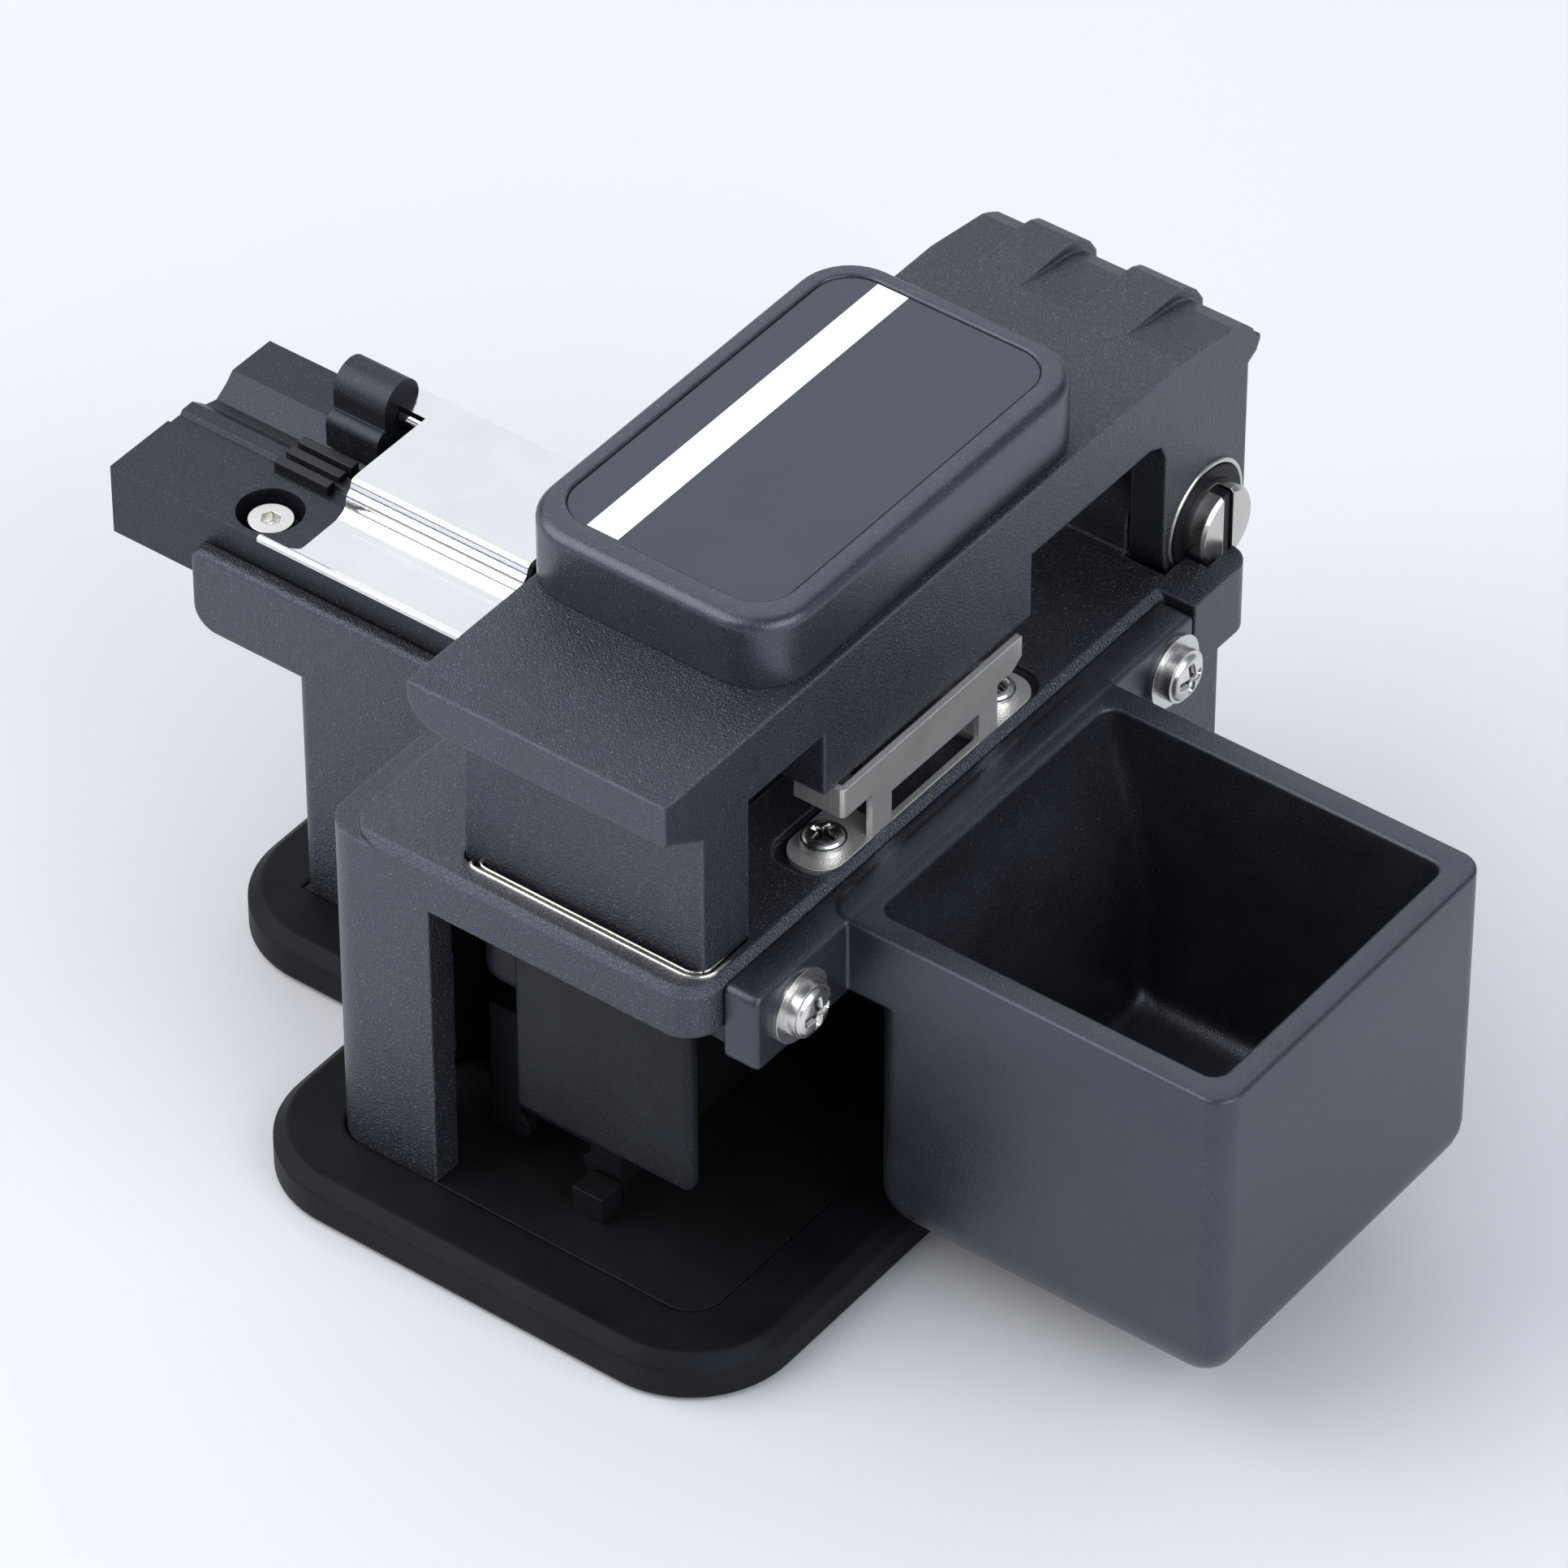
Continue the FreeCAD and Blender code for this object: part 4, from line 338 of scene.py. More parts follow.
FINISHES: tuple[Finish, ...] = (
    Finish("rubber", (0.004, 0.0045, 0.006), 0.55, grain_size=0.22, relief=0.25, mottle=0.4, edge=0.6,
           wear_and_highlight=0.3, specular=0.2),
    Finish("cast_black", (0.013, 0.014, 0.018), 0.33, grain_size=0.18, relief=1.8, mottle=0.15,
           edge=0.45, wear_and_highlight=0.9, specular=1.0, painted_glint=0.5),
    # Darkest finish: painted shade for the inner parts, the screw recesses and the pin's slot.
    Finish("inner_black", (0.005, 0.005, 0.006), 0.5, grain_size=0.2, relief=0.3, mottle=0.2,
           edge=0.2, wear_and_highlight=0.0, specular=0.3),
    Finish("screw_steel", (0.74, 0.73, 0.71), 0.27, metallic=1.0, grain_size=0.25, relief=0.04,
           mottle=0.05, edge=0.1, wear_and_highlight=0.1),
    Finish("holder_anodised", (0.007, 0.008, 0.010), 0.42, grain_size=0.14, relief=0.4, mottle=0.12,
           edge=0.15, wear_and_highlight=0.45, specular=0.55, painted_glint=0.25),
    Finish("strip_rubber", (0.010, 0.010, 0.011), 0.45, grain_size=0.2, relief=0.15, edge=0.18,
           wear_and_highlight=0.2, specular=0.5),
    Finish("black_screw", (0.72, 0.71, 0.69), 0.22, metallic=1.0, grain=Grain.TURNED, grain_size=0.1,
           relief=0.06, mottle=0.08, edge=0.12, wear_and_highlight=0.1),
    Finish("lid_steel", (0.72, 0.72, 0.73), 0.11, metallic=1.0, grain_size=0.5,
           relief=0.05, mottle=0.04, edge=0.0, wear_and_highlight=0.0),
    Finish("magnet", (0.70, 0.70, 0.70), 0.2, metallic=1.0, grain_size=0.2, relief=0.05, mottle=0.05,
           edge=0.1),
    Finish("box_plastic", (0.012, 0.013, 0.017), 0.33, grain_size=0.16, relief=0.4, mottle=0.25,
           edge=0.4, wear_and_highlight=0.3, specular=0.95, painted_glint=0.2),
    Finish("guide_steel", (0.88, 0.86, 0.82), 0.33, metallic=0.8, grain=Grain.BRUSHED_Z,
           grain_size=0.14, relief=1.2, mottle=0.10, edge=0.1, wear_and_highlight=0.1),
    Finish("rail_steel", (0.55, 0.55, 0.56), 0.3, metallic=1.0, grain=Grain.BRUSHED_Y, grain_size=0.1,
           relief=0.1, edge=0.15),
    Finish("slider_metal", (0.007, 0.008, 0.010), 0.45, grain_size=0.16, relief=0.5, mottle=0.3,
           edge=0.3, wear_and_highlight=0.6, specular=0.25, painted_glint=0.2),
    Finish("blade_steel", (0.62, 0.62, 0.63), 0.22, metallic=1.0, grain_size=0.1, relief=0.08,
           edge=0.08),
    Finish("cap_plastic", (0.018, 0.019, 0.024), 0.30, grain_size=0.16, relief=0.5, mottle=0.15,
           edge=0.3, wear_and_highlight=0.25, specular=1.0, painted_glint=0.3),
    Finish("label", (0.020, 0.021, 0.027), 0.30, grain_size=0.12, relief=0.05, mottle=0.1, edge=0.1,
           wear_and_highlight=0.3, specular=0.85),
    Finish("pin_steel", (0.62, 0.60, 0.56), 0.26, metallic=1.0, grain_size=0.2, relief=0.10,
           mottle=0.08, edge=0.12),
    Finish("carrier_metal", (0.012, 0.012, 0.015), 0.40, grain_size=0.15, relief=0.2, mottle=0.12,
           edge=0.2),
    Finish("anvil_steel", (0.62, 0.62, 0.63), 0.22, metallic=1.0, grain_size=0.1, relief=0.08, edge=0.1),
    Finish("spring_steel", (0.55, 0.55, 0.55), 0.25, metallic=1.0, grain_size=0.1, relief=0.05,
           edge=0.05),
    Finish("stripe", (0.80, 0.81, 0.83), 0.45, grain_size=0.1, relief=0.05, mottle=0.02, edge=0.02,
           wear_and_highlight=0.0),
    # Bright metal for the pocket's lines: bare metal, and partly a painted highlight.
    Finish("bare_edge", (0.66, 0.63, 0.58), 0.22, metallic=1.0, grain_size=0.3, relief=0.25,
           mottle=0.12, edge=0.05, wear_and_highlight=0.0),
)


def new_piece(name: str, mesh: bmesh.types.BMesh, finish: bpy.types.Material, body: Body,
              smooth: bool = False, crease: float = 38.0) -> bpy.types.Object:
    """Turn a mesh into a piece that rides on a body.

    Args:
        name: The piece's name.
        mesh: Its mesh, which is freed.
        finish: Its material.
        body: What it rides on.
        smooth: Whether its faces are shaded smooth.
        crease: The angle in degrees from which an edge stays sharp.

    Returns:
        The new object.
    """
    bmesh.ops.recalc_face_normals(mesh, faces=mesh.faces[:])
    data = bpy.data.meshes.new(name)
    mesh.to_mesh(data)
    mesh.free()
    for face in data.polygons:
        face.use_smooth = smooth
    if smooth:
        data.set_sharp_from_angle(angle=math.radians(crease))
    piece = bpy.data.objects.new(name, data)
    bpy.context.scene.collection.objects.link(piece)
    data.materials.append(finish)
    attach(piece, body.value)
    LOG.info("piece %s: %d faces on %s", name, len(data.polygons), body.value)
    return piece


def skin(mesh: bmesh.types.BMesh, rows: Sequence[Sequence[bmesh.types.BMVert]],
         closed: bool = True, capped: bool = True) -> None:
    """Join neighbouring rows of vertices with faces.

    Args:
        mesh: Where the rows are.
        rows: Rows of as many vertices each.
        closed: Whether each row is a ring.
        capped: Whether the first and the last row are filled.
    """
    count = len(rows[0])
    for one, two in zip(rows, rows[1:]):
        for n in range(count if closed else count - 1):
            after = (n + 1) % count
            mesh.faces.new((one[n], one[after], two[after], two[n]))
    if capped:
        mesh.faces.new(rows[0][::-1])
        mesh.faces.new(rows[-1])


def spread(mesh: bmesh.types.BMesh, rows: Sequence[Sequence[Point]]) -> list[list[bmesh.types.BMVert]]:
    """Turn rows of points into rows of vertices.

    Args:
        mesh: Where they go.
        rows: The points.

    Returns:
        The vertices.
    """
    return [[mesh.verts.new(spot) for spot in row] for row in rows]


def stack(rings: Sequence[Sequence[Point]]) -> bmesh.types.BMesh:
    """Join closed rings of points into a skin and close both ends.

    Args:
        rings: Rings of as many points each.

    Returns:
        The closed skin.
    """
    mesh = bmesh.new()
    skin(mesh, spread(mesh, rings))
    return mesh


def outline(low: Sequence[float], high: Sequence[float], radius: float, inset: float = 0.0,
            steps: int = 10) -> list[Flat]:
    """Walk round a rectangle with rounded corners.

    Args:
        low: Lower X and Y.
        high: Upper X and Y.
        radius: The corners' rounding.
        inset: How far the outline is drawn in.
        steps: Runs in each corner.

    Returns:
        Points in X and Y, counter-clockwise.
    """
    turn = max(radius - inset, 0.05 * MM)
    left, front = low[0] + inset, low[1] + inset
    right, rear = high[0] - inset, high[1] - inset
    spots = []
    for x, y, start in ((right - turn, front + turn, -90), (right - turn, rear - turn, 0),
                        (left + turn, rear - turn, 90), (left + turn, front + turn, 180)):
        for n in range(steps + 1):
            angle = math.radians(start + 90 * n / steps)
            spots.append((x + turn * math.cos(angle), y + turn * math.sin(angle)))
    return spots


def ring(low: Sequence[float], high: Sequence[float], level: float, radius: float,
         inset: float = 0.0) -> list[Point]:
    """Draw a level rectangle with rounded corners.

    Args:
        low: Lower X and Y.
        high: Upper X and Y.
        level: Its height.
        radius: The corners' rounding.
        inset: How far it is drawn in.

    Returns:
        The ring's points.
    """
    return [(x, y, level) for x, y in outline(low, high, radius, inset)]


def quarter(steps: int, first: int = 0) -> list[Flat]:
    """Walk a quarter turn.

    Args:
        steps: Runs in the quarter.
        first: The first station that is wanted.

    Returns:
        The sine and the cosine at each station.
    """
    turns = [math.radians(90 * n / steps) for n in range(first, steps + 1)]
    return [(math.sin(turn), math.cos(turn)) for turn in turns]


def circle(around: int, last: int = 0) -> list[float]:
    """Share a full turn out.

    Args:
        around: How many stations.
        last: Stations that are repeated at the end.

    Returns:
        The angle of each station.
    """
    return [2 * math.pi * n / around for n in range(around + last)]


def runs(line: Sequence[Flat]) -> list[Vector]:
    """Find the direction of a line at each of its points.

    Args:
        line: The points.

    Returns:
        A unit vector for each point.
    """
    directions = []
    for n in range(len(line)):
        before, after = line[max(0, n - 1)], line[min(len(line) - 1, n + 1)]
        directions.append(Vector((after[0] - before[0], after[1] - before[1])).normalized())
    return directions


def soften(points: Sequence[Flat], rounds: int = 3) -> list[Flat]:
    """Cut the corners of an open line until it is smooth.

    Args:
        points: The line.
        rounds: How often the corners are cut.

    Returns:
        The smooth line with the same ends.
    """
    line = list(points)
    for _ in range(rounds):
        cut = [line[0]]
        for (a, b), (c, d) in zip(line, line[1:]):
            cut.append((0.75 * a + 0.25 * c, 0.75 * b + 0.25 * d))
            cut.append((0.25 * a + 0.75 * c, 0.25 * b + 0.75 * d))
        line = cut + [line[-1]]
    return line


def soft_box(mesh: bmesh.types.BMesh, low: Sequence[float], high: Sequence[float],
             radius: float) -> None:
    """Add a box with rounded edges.

    Args:
        mesh: Where it goes.
        low: Its lower corner.
        high: Its upper corner.
        radius: The rounding.
    """
    corners = bmesh.ops.create_cube(mesh, size=1.0)["verts"]
    for corner in corners:
        corner.co = Vector([low[n] + (corner.co[n] + 0.5) * (high[n] - low[n]) for n in range(3)])
    edges = {edge for corner in corners for edge in corner.link_edges}
    bmesh.ops.bevel(mesh, geom=list(edges), offset=radius, segments=4, profile=0.5, affect="EDGES")


@dataclass
class Dressing:
    """Gives every solid of the frame its finish."""

    finishes: tuple[Finish, ...] = FINISHES

    def build(self) -> dict[str, bpy.types.Material]:
        """Make the materials and put them on the solids.

        Returns:
            The materials by the finish's name.
        """
        made = {finish.slot: finish.build() for finish in self.finishes}
        slots = {row["node"]: row["material_slot"] for row in frame["record"]["subparts"]}
        for node, thing in frame["nodes"].items():
            # Inner parts get the darkest finish as painted shade.
            material = made["inner_black" if node in SHADED_INNER_PARTS else slots[node]]
            if not thing.material_slots:
                thing.data.materials.append(material)
            for place in thing.material_slots:
                place.material = material
        LOG.info("dressed %d solids in %d finishes", len(frame["nodes"]), len(made))
        return made


@dataclass
class LabelStripe:
    """Plain white stripe printed across the label, in millimetres."""

    finish: bpy.types.Material
    left: float = 3.55
    wide: float = 3.0
    thick: float = 0.03
    margin: float = 0.05

    def build(self) -> bpy.types.Object:
        """Make the stripe.

        Returns:
            The stripe.
        """
        low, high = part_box("label_plate")
        left = low[0] + self.left * MM
        right = left + self.wide * MM
        front, rear = low[1] + self.margin * MM, high[1] - self.margin * MM
        corners = [(left, front), (right, front), (right, rear), (left, rear)]
        levels = (high[2], high[2] + self.thick * MM)
        mesh = stack([[(x, y, level) for x, y in corners] for level in levels])
        return new_piece("label_stripe", mesh, self.finish, Body.LEVER)


@dataclass
class ArmCap:
    """Raised cap with a soft upper edge and a recess for the label, in millimetres."""

    finish: bpy.types.Material
    corner: float = 5.0
    edge: float = 1.0
    lip: float = 0.2
    recess_corner: float = 3.4
    gap: float = 0.1

    def build(self) -> bpy.types.Object:
        """Make the cap.

        Returns:
            The cap.
        """
        low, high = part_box("arm_cap")
        plate_low, plate_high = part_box("label_plate")
        rings = [ring(low, high, low[2], self.corner * MM)]
        for sine, cosine in quarter(8):
            inset = self.edge * (1 - cosine) * MM
            level = high[2] - self.edge * (1 - sine) * MM
            rings.append(ring(low, high, level, self.corner * MM, inset))
        for sine, cosine in quarter(4):
            inset = -(self.gap + self.lip * (1 - sine)) * MM
            level = high[2] - self.lip * (1 - cosine) * MM
            rings.append(ring(plate_low, plate_high, level, self.recess_corner * MM, inset))
        rings.append([(x, y, plate_low[2]) for x, y, _ in rings[-1]])
        piece = new_piece("cap_shell", stack(rings), self.finish, Body.LEVER, smooth=True)
        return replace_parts(piece, "arm_cap")


@dataclass
class PanScrews:
    """Two pan heads with a cross recess, at the ends of a node's box, in millimetres."""

    node: str
    finish: bpy.types.Material
    sideways: bool
    radius: float
    high: float
    cross: float
    deep: float
    collar: float = 0.86
    side: float = 0.60
    crown: float = 2.4
    arm_wide: float = 0.26
    least: float = 0.05
    crease: float = 75.0
    around: int = 96
    steps: int = 30

    def spots(self) -> list[Point]:
        """Find the middle of each head's seat.

        Returns:
            The two middles.
        """
        low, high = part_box(self.node)
        ends = (low[1] + self.radius * MM, high[1] - self.radius * MM)
        if self.sideways:
            return [(high[0] - self.high * MM, y, (low[2] + high[2]) / 2) for y in ends]
        return [((low[0] + high[0]) / 2, y, high[2] - self.high * MM) for y in ends]

    def height(self, across: float, along: float) -> float:
        """Work out the head's height over its seat.

        Args:
            across: One distance from the axis.
            along: The other distance.

        Returns:
            The height.
        """
        share = min(1.0, math.hypot(across, along) / self.radius / self.collar)
        dome = self.high * (self.side + (1 - self.side) * (1 - share ** self.crown) ** 0.5)
        dent = 0.0
        for one, two in ((across, along), (along, across)):
            slim = 1 - abs(one) / (self.cross * self.arm_wide)
            far = 1 - abs(two) / self.cross
            dent = max(dent, min(1.0, 3.0 * max(0.0, slim)) * min(1.0, 2.5 * max(0.0, far)))
        return max(self.least, dome - self.deep * dent)

    def build(self) -> bpy.types.Object:
        """Make both heads.

        Returns:
            The pair as one piece.
        """
        mesh = bmesh.new()
        for seat in self.spots():
            hub = mesh.verts.new(self.lay(seat, 0.0, 0.0, self.height(0.0, 0.0)))
            rows = []
            for m in range(1, self.steps + 1):
                far = self.radius * m / self.steps
                places = [(far * math.cos(turn), far * math.sin(turn)) for turn in circle(self.around)]
                rows.append([self.lay(seat, a, b, self.height(a, b) if m < self.steps else 0.0)
                             for a, b in places])
            rims = spread(mesh, rows)
            skin(mesh, rims, capped=False)
            mesh.faces.new(rims[-1])
            for n in range(self.around):
                mesh.faces.new((hub, rims[0][n], rims[0][(n + 1) % self.around]))
        piece = new_piece(self.node + "_heads", mesh, self.finish, Body.BASE, smooth=True,
                          crease=self.crease)
        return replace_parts(piece, self.node)

    def lay(self, seat: Point, across: float, along: float, level: float) -> Point:
        """Place a point of the head in the frame.

        Args:
            seat: The middle of the seat in metres.
            across: Millimetres one way.
            along: Millimetres the other way.
            level: Millimetres over the seat.

        Returns:
            The point in metres.
        """
        x, y, z = seat
        if self.sideways:
            return x + level * MM, y + across * MM, z + along * MM
        return x + across * MM, y + along * MM, z + level * MM

    def shade_recess(self, dark: bpy.types.Material) -> bpy.types.Object:
        """Make dark floors in the cross recesses, which are painted shade.

        Args:
            dark: Their material.

        Returns:
            The painted shade as one piece.
        """
        mesh = bmesh.new()
        half, long, level = self.cross * 0.11, self.cross * 0.8, self.high - self.deep * 0.62
        for spot in self.spots():
            for a, b in ((half, long), (long, half)):
                low = self.lay(spot, -a, -b, 0.2)
                soft_box(mesh, low, self.lay(spot, a, b, level), 0.05 * MM)
        return new_piece(self.node + "_cross_shade", mesh, dark, Body.BASE)


@dataclass
class ClampLid:
    """Bent sheet lid with a round front hem, in millimetres from its box."""

    finish: bpy.types.Material
    thick: float = 0.7
    left_in: float = 3.9
    tab_wide: float = 3.15
    tab_deep: float = 2.8
    tab_step: float = 0.02
    flare: float = 2.52
    flare_deep: float = 1.5
    flare_run: float = 1.0
    hem: float = 0.38
    hem_in: float = 0.42
    hem_down: float = 3.3
    hem_reach: float = 3.864
    barrel: float = 1.3
    bend: tuple[Flat, ...] = ((9.6, 0.0), (8.4, 0.0), (7.7, 0.15), (7.5, 1.0), (7.1, 1.25), (6.9, 1.8),
                              (6.75, 2.6), (5.6, 3.02), (4.6, 3.02), (2.2, 3.05), (1.2, 3.05),
                              (0.5, 3.2))

    def profile(self) -> list[Flat]:
        """Draw the sheet's upper line from rear to front.

        Returns:
            Points in Y and Z, in metres.
        """
        low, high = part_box("clamp_lid")
        front, rear, top = low[1] / MM, high[1] / MM, high[2] / MM
        notch = rear - self.tab_deep
        line = soften([(notch - self.tab_step, top)]
                      + [(front + y, top - down) for y, down in self.bend])
        return [(y * MM, z * MM) for y, z in [(rear, top), (notch, top)] + line]

    def left_end(self, station: int, y: float, left: float, front: float) -> float:
        """Find where the sheet ends on the left.

        Args:
            station: Which point of the profile.
            y: Its Y in metres.
            left: The plain left edge in metres.
            front: The front of the lid in metres.

        Returns:
            The end's X in metres.
        """
        reach = (front + self.flare_deep * MM - y) / (self.flare_run * MM)
        if reach > 0:
            return left - self.flare * MM * min(1.0, reach) ** 3.0
        return left - self.tab_wide * MM if station < 2 else left

    def build(self) -> bpy.types.Object:
        """Make the lid, its hem and its barrel.

        Returns:
            The lid.
        """
        low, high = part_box("clamp_lid")
        left, right = low[0] + self.left_in * MM, high[0]
        upper = self.profile()
        rows = []
        for n, ((y, z), run) in enumerate(zip(upper, runs(upper))):
            end = self.left_end(n, y, left, low[1])
            v, w = y - run.y * self.thick * MM, z + run.x * self.thick * MM
            rows.append([(end, y, z), (right, y, z), (right, v, w), (end, v, w)])
        mesh = stack(rows)
        pin_low, pin_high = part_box("clamp_hinge_pin")
        middle = ((pin_low[1] + pin_high[1]) / 2, (pin_low[2] + pin_high[2]) / 2)
        self.rod(mesh, middle, self.barrel, left - self.tab_wide * MM, right)
        self.rod(mesh, (low[1] + self.hem_in * MM, high[2] - self.hem_down * MM), self.hem,
                 left - self.hem_reach * MM, right)
        piece = new_piece("lid_sheet", mesh, self.finish, Body.CLAMP, smooth=True)
        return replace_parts(piece, "clamp_lid")

    def rod(self, mesh: bmesh.types.BMesh, middle: Flat, radius: float, start: float,
            end: float) -> None:
        """Add a rod along X with a rounded left end.

        Args:
            mesh: Where it goes.
            middle: Its axis in Y and Z, in metres.
            radius: Its radius in millimetres.
            start: Its left end in metres.
            end: Its right end in metres.
        """
        stations = [(start, 0.35), (start + 0.1 * radius * MM, 0.75),
                    (start + 0.35 * radius * MM, 1.0), (end, 1.0)]
        skin(mesh, spread(mesh, [[(x, middle[0] + radius * share * MM * math.cos(turn),
                                   middle[1] + radius * share * MM * math.sin(turn))
                                  for turn in circle(24)] for x, share in stations]))


@dataclass
class ScrapBox:
    """Moulded box with rounded corners, a sloping chute and its flange, in millimetres."""

    finish: bpy.types.Material
    flange: float = 3.2
    flange_high: float = 7.6
    flange_corner: float = 0.9
    flange_drop: float = 0.02
    front_in: float = 11.7
    rear_in: float = 10.9
    gap: float = 2.5
    step: float = 7.0
    wall: float = 2.4
    mouth: float = 1.1
    corner: float = 2.2
    inner_corner: float = 1.4
    bottom: float = 5.0
    floor_round: float = 2.4
    outer_lip: float = 0.3
    inner_lip: float = 0.25
    chute: tuple[Flat, ...] = ((0.0, 0.9), (0.9, 4.2), (1.5, 6.2), (2.3, 9.0), (3.2, 13.0),
                               (3.8, 18.0), (3.8, 26.5))
    rear_edge: tuple[Flat, ...] = ((0.0, 0.2), (0.2, 0.0))
    face_edge: tuple[Flat, ...] = ((0.45, 0.0), (0.2, 0.08), (0.06, 0.22), (0.0, 0.45))

    def build(self) -> bpy.types.Object:
        """Make the box and its flange.

        Returns:
            The box as one piece.
        """
        low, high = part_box("scrap_box")
        front, rear = low[1] + self.front_in * MM, high[1] - self.rear_in * MM
        face = low[0] + self.flange * MM
        mesh = stack(self.outside(low[2], face, front, (high[0], rear), high[2])
                     + self.inside(face, front, (high[0], rear), high[2]))
        self.plate(mesh, low, high, face)
        piece = new_piece("box_shell", mesh, self.finish, Body.BASE, smooth=True)
        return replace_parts(piece, "scrap_box")

    def outside(self, floor: float, face: float, front: float, far: Flat,
                top: float) -> list[list[Point]]:
        """Draw the box's outside from its floor to its rim.

        Args:
            floor: The lowest height.
            face: The flange's outer face.
            front: The box's front.
            far: The box's right and rear.
            top: The rim's height.

        Returns:
            The rings.
        """
        near, corner = (face + self.gap * MM, front), self.corner * MM
        rings = []
        for sine, cosine in quarter(8):
            inset = self.bottom * (1 - sine) * MM
            level = floor + self.bottom * (1 - cosine) * MM
            rings.append(ring(near, far, level, corner + inset, inset))
        shelf, inner = top - self.step * MM, (face - corner, front)
        rings += [ring(near, far, shelf, corner), ring(inner, far, shelf, corner)]
        for sine, cosine in quarter(4):
            inset = self.outer_lip * (1 - cosine) * MM
            rings.append(ring(inner, far, top - self.outer_lip * (1 - sine) * MM, corner, inset))
        return rings

    def inside(self, face: float, front: float, far: Flat, top: float) -> list[list[Point]]:
        """Draw the box's inside from its rim to its floor.

        Args:
            face: The flange's outer face.
            front: The box's front.
            far: The box's right and rear.
            top: The rim's height.

        Returns:
            The rings.
        """
        near = (face + self.mouth * MM, front + self.wall * MM)
        far = (far[0] - self.wall * MM, far[1] - self.wall * MM)
        corner = self.inner_corner * MM
        rings = []
        for sine, cosine in quarter(3):
            inset = -self.inner_lip * (1 - sine) * MM
            rings.append(ring(near, far, top - self.inner_lip * (1 - cosine) * MM, corner, inset))
        for right, deep in self.chute:
            rings.append(ring((near[0] + right * MM, near[1]), far, top - deep * MM, corner))
        right, deep = self.chute[-1]
        for sine, cosine in quarter(4, first=1):
            inset = self.floor_round * (1 - cosine) * MM
            level = top - deep * MM - self.floor_round * sine * MM
            rings.append(ring((near[0] + right * MM, near[1]), far, level, corner + inset, inset))
        return rings

    def plate(self, mesh: bmesh.types.BMesh, low: Sequence[float], high: Sequence[float],
              face: float) -> None:
        """Add the flange with its ears.

        Args:
            mesh: Where it goes.
            low: The node's lower corner.
            high: The node's upper corner.
            face: The flange's outer face.
        """
        under = (low[1], high[2] - self.flange_high * MM)
        over = (high[1], high[2] - self.flange_drop * MM)
        stations = [(low[0] + x * MM, inset) for x, inset in self.rear_edge]
        stations += [(face - x * MM, inset) for x, inset in self.face_edge]
        corner = self.flange_corner * MM
        skin(mesh, spread(mesh, [[(x, y, z) for y, z in outline(under, over, corner, inset * MM)]
                                 for x, inset in stations]))


@dataclass
class PushBlock:
    """Thumb plate of the slider with its core and rounded shoulder, in millimetres."""

    finish: bpy.types.Material
    plate: float = 1.7
    plate_round: float = 0.6
    core: float = 8.0
    core_in: Point = (0.3, 0.8, 0.5)
    core_round: float = 0.4
    shoulder: float = 4.0
    shoulder_back: float = 0.5
    shoulder_high: float = 8.0
    shoulder_over: float = 1.5
    shoulder_round: float = 1.9

    def build(self) -> bpy.types.Object:
        """Make the block.

        Returns:
            The block.
        """
        low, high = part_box("push_block")
        left = low[0] + self.shoulder * MM
        right, back, up = self.core_in
        mesh = bmesh.new()
        soft_box(mesh, (left, low[1], low[2]), (high[0], low[1] + self.plate * MM, high[2]),
                 self.plate_round * MM)
        soft_box(mesh, (left + right * MM, low[1] + back * MM, low[2] + up * MM),
                 (left + self.core * MM, high[1], high[2]), self.core_round * MM)
        soft_box(mesh, (low[0], low[1] + self.shoulder_back * MM, high[2] - self.shoulder_high * MM),
                 (left + self.shoulder_over * MM, high[1], high[2]), self.shoulder_round * MM)
        piece = new_piece("push_plate", mesh, self.finish, Body.SLIDER, smooth=True)
        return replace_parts(piece, "push_block")


@dataclass
class PivotEnd:
    """Turned rim round the lever's bushing and a dark fill in the pin's slot that is painted shade, in
    millimetres.
    """

    finish: bpy.types.Material
    dark: bpy.types.Material
    inner: float = 4.7
    outer: float = 5.15
    proud: float = 0.28
    shoulder: float = 0.6
    inner_bevel: float = 0.1
    outer_bevel: float = 0.12
    around: int = 72
    slot_deep: float = 1.9
    slot_half: float = 0.5
    slot_in: float = 0.25

    def build(self) -> None:
        """Make the rim and the slot's dark fill, which is painted shade."""
        self.rim()
        self.slot()

    def rim(self) -> bpy.types.Object:
        """Make the rim.

        Returns:
            The rim.
        """
        low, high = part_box("pivot_bushing_right")
        y, z = (low[1] + high[1]) / 2, (low[2] + high[2]) / 2
        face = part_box("arm")[1][0]
        section = ((self.outer, 0.0), (self.outer, self.proud * self.shoulder),
                   (self.outer - self.outer_bevel, self.proud),
                   (self.inner + self.inner_bevel, self.proud),
                   (self.inner, self.proud * self.shoulder), (self.inner, 0.0))
        mesh = bmesh.new()
        rows = [[(face + out * MM, y + radius * MM * math.cos(turn), z + radius * MM * math.sin(turn))
                 for turn in circle(self.around, last=1)] for radius, out in section]
        skin(mesh, spread(mesh, rows), closed=False, capped=False)
        return new_piece("pivot_rim", mesh, self.finish, Body.LEVER, smooth=True)

    def slot(self) -> bpy.types.Object:
        """Make a dark fill in the slot of the pin's end, which is painted shade.

        Returns:
            The painted shade in the slot.
        """
        low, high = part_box("pivot_pin")
        middle, half, inset = (low[1] + high[1]) / 2, self.slot_half * MM, self.slot_in * MM
        mesh = bmesh.new()
        soft_box(mesh, (high[0] - self.slot_deep * MM, middle - half, low[2] + inset),
                 (high[0] - inset, middle + half, high[2] - inset), 0.05 * MM)
        return new_piece("pin_slot", mesh, self.dark, Body.BASE)


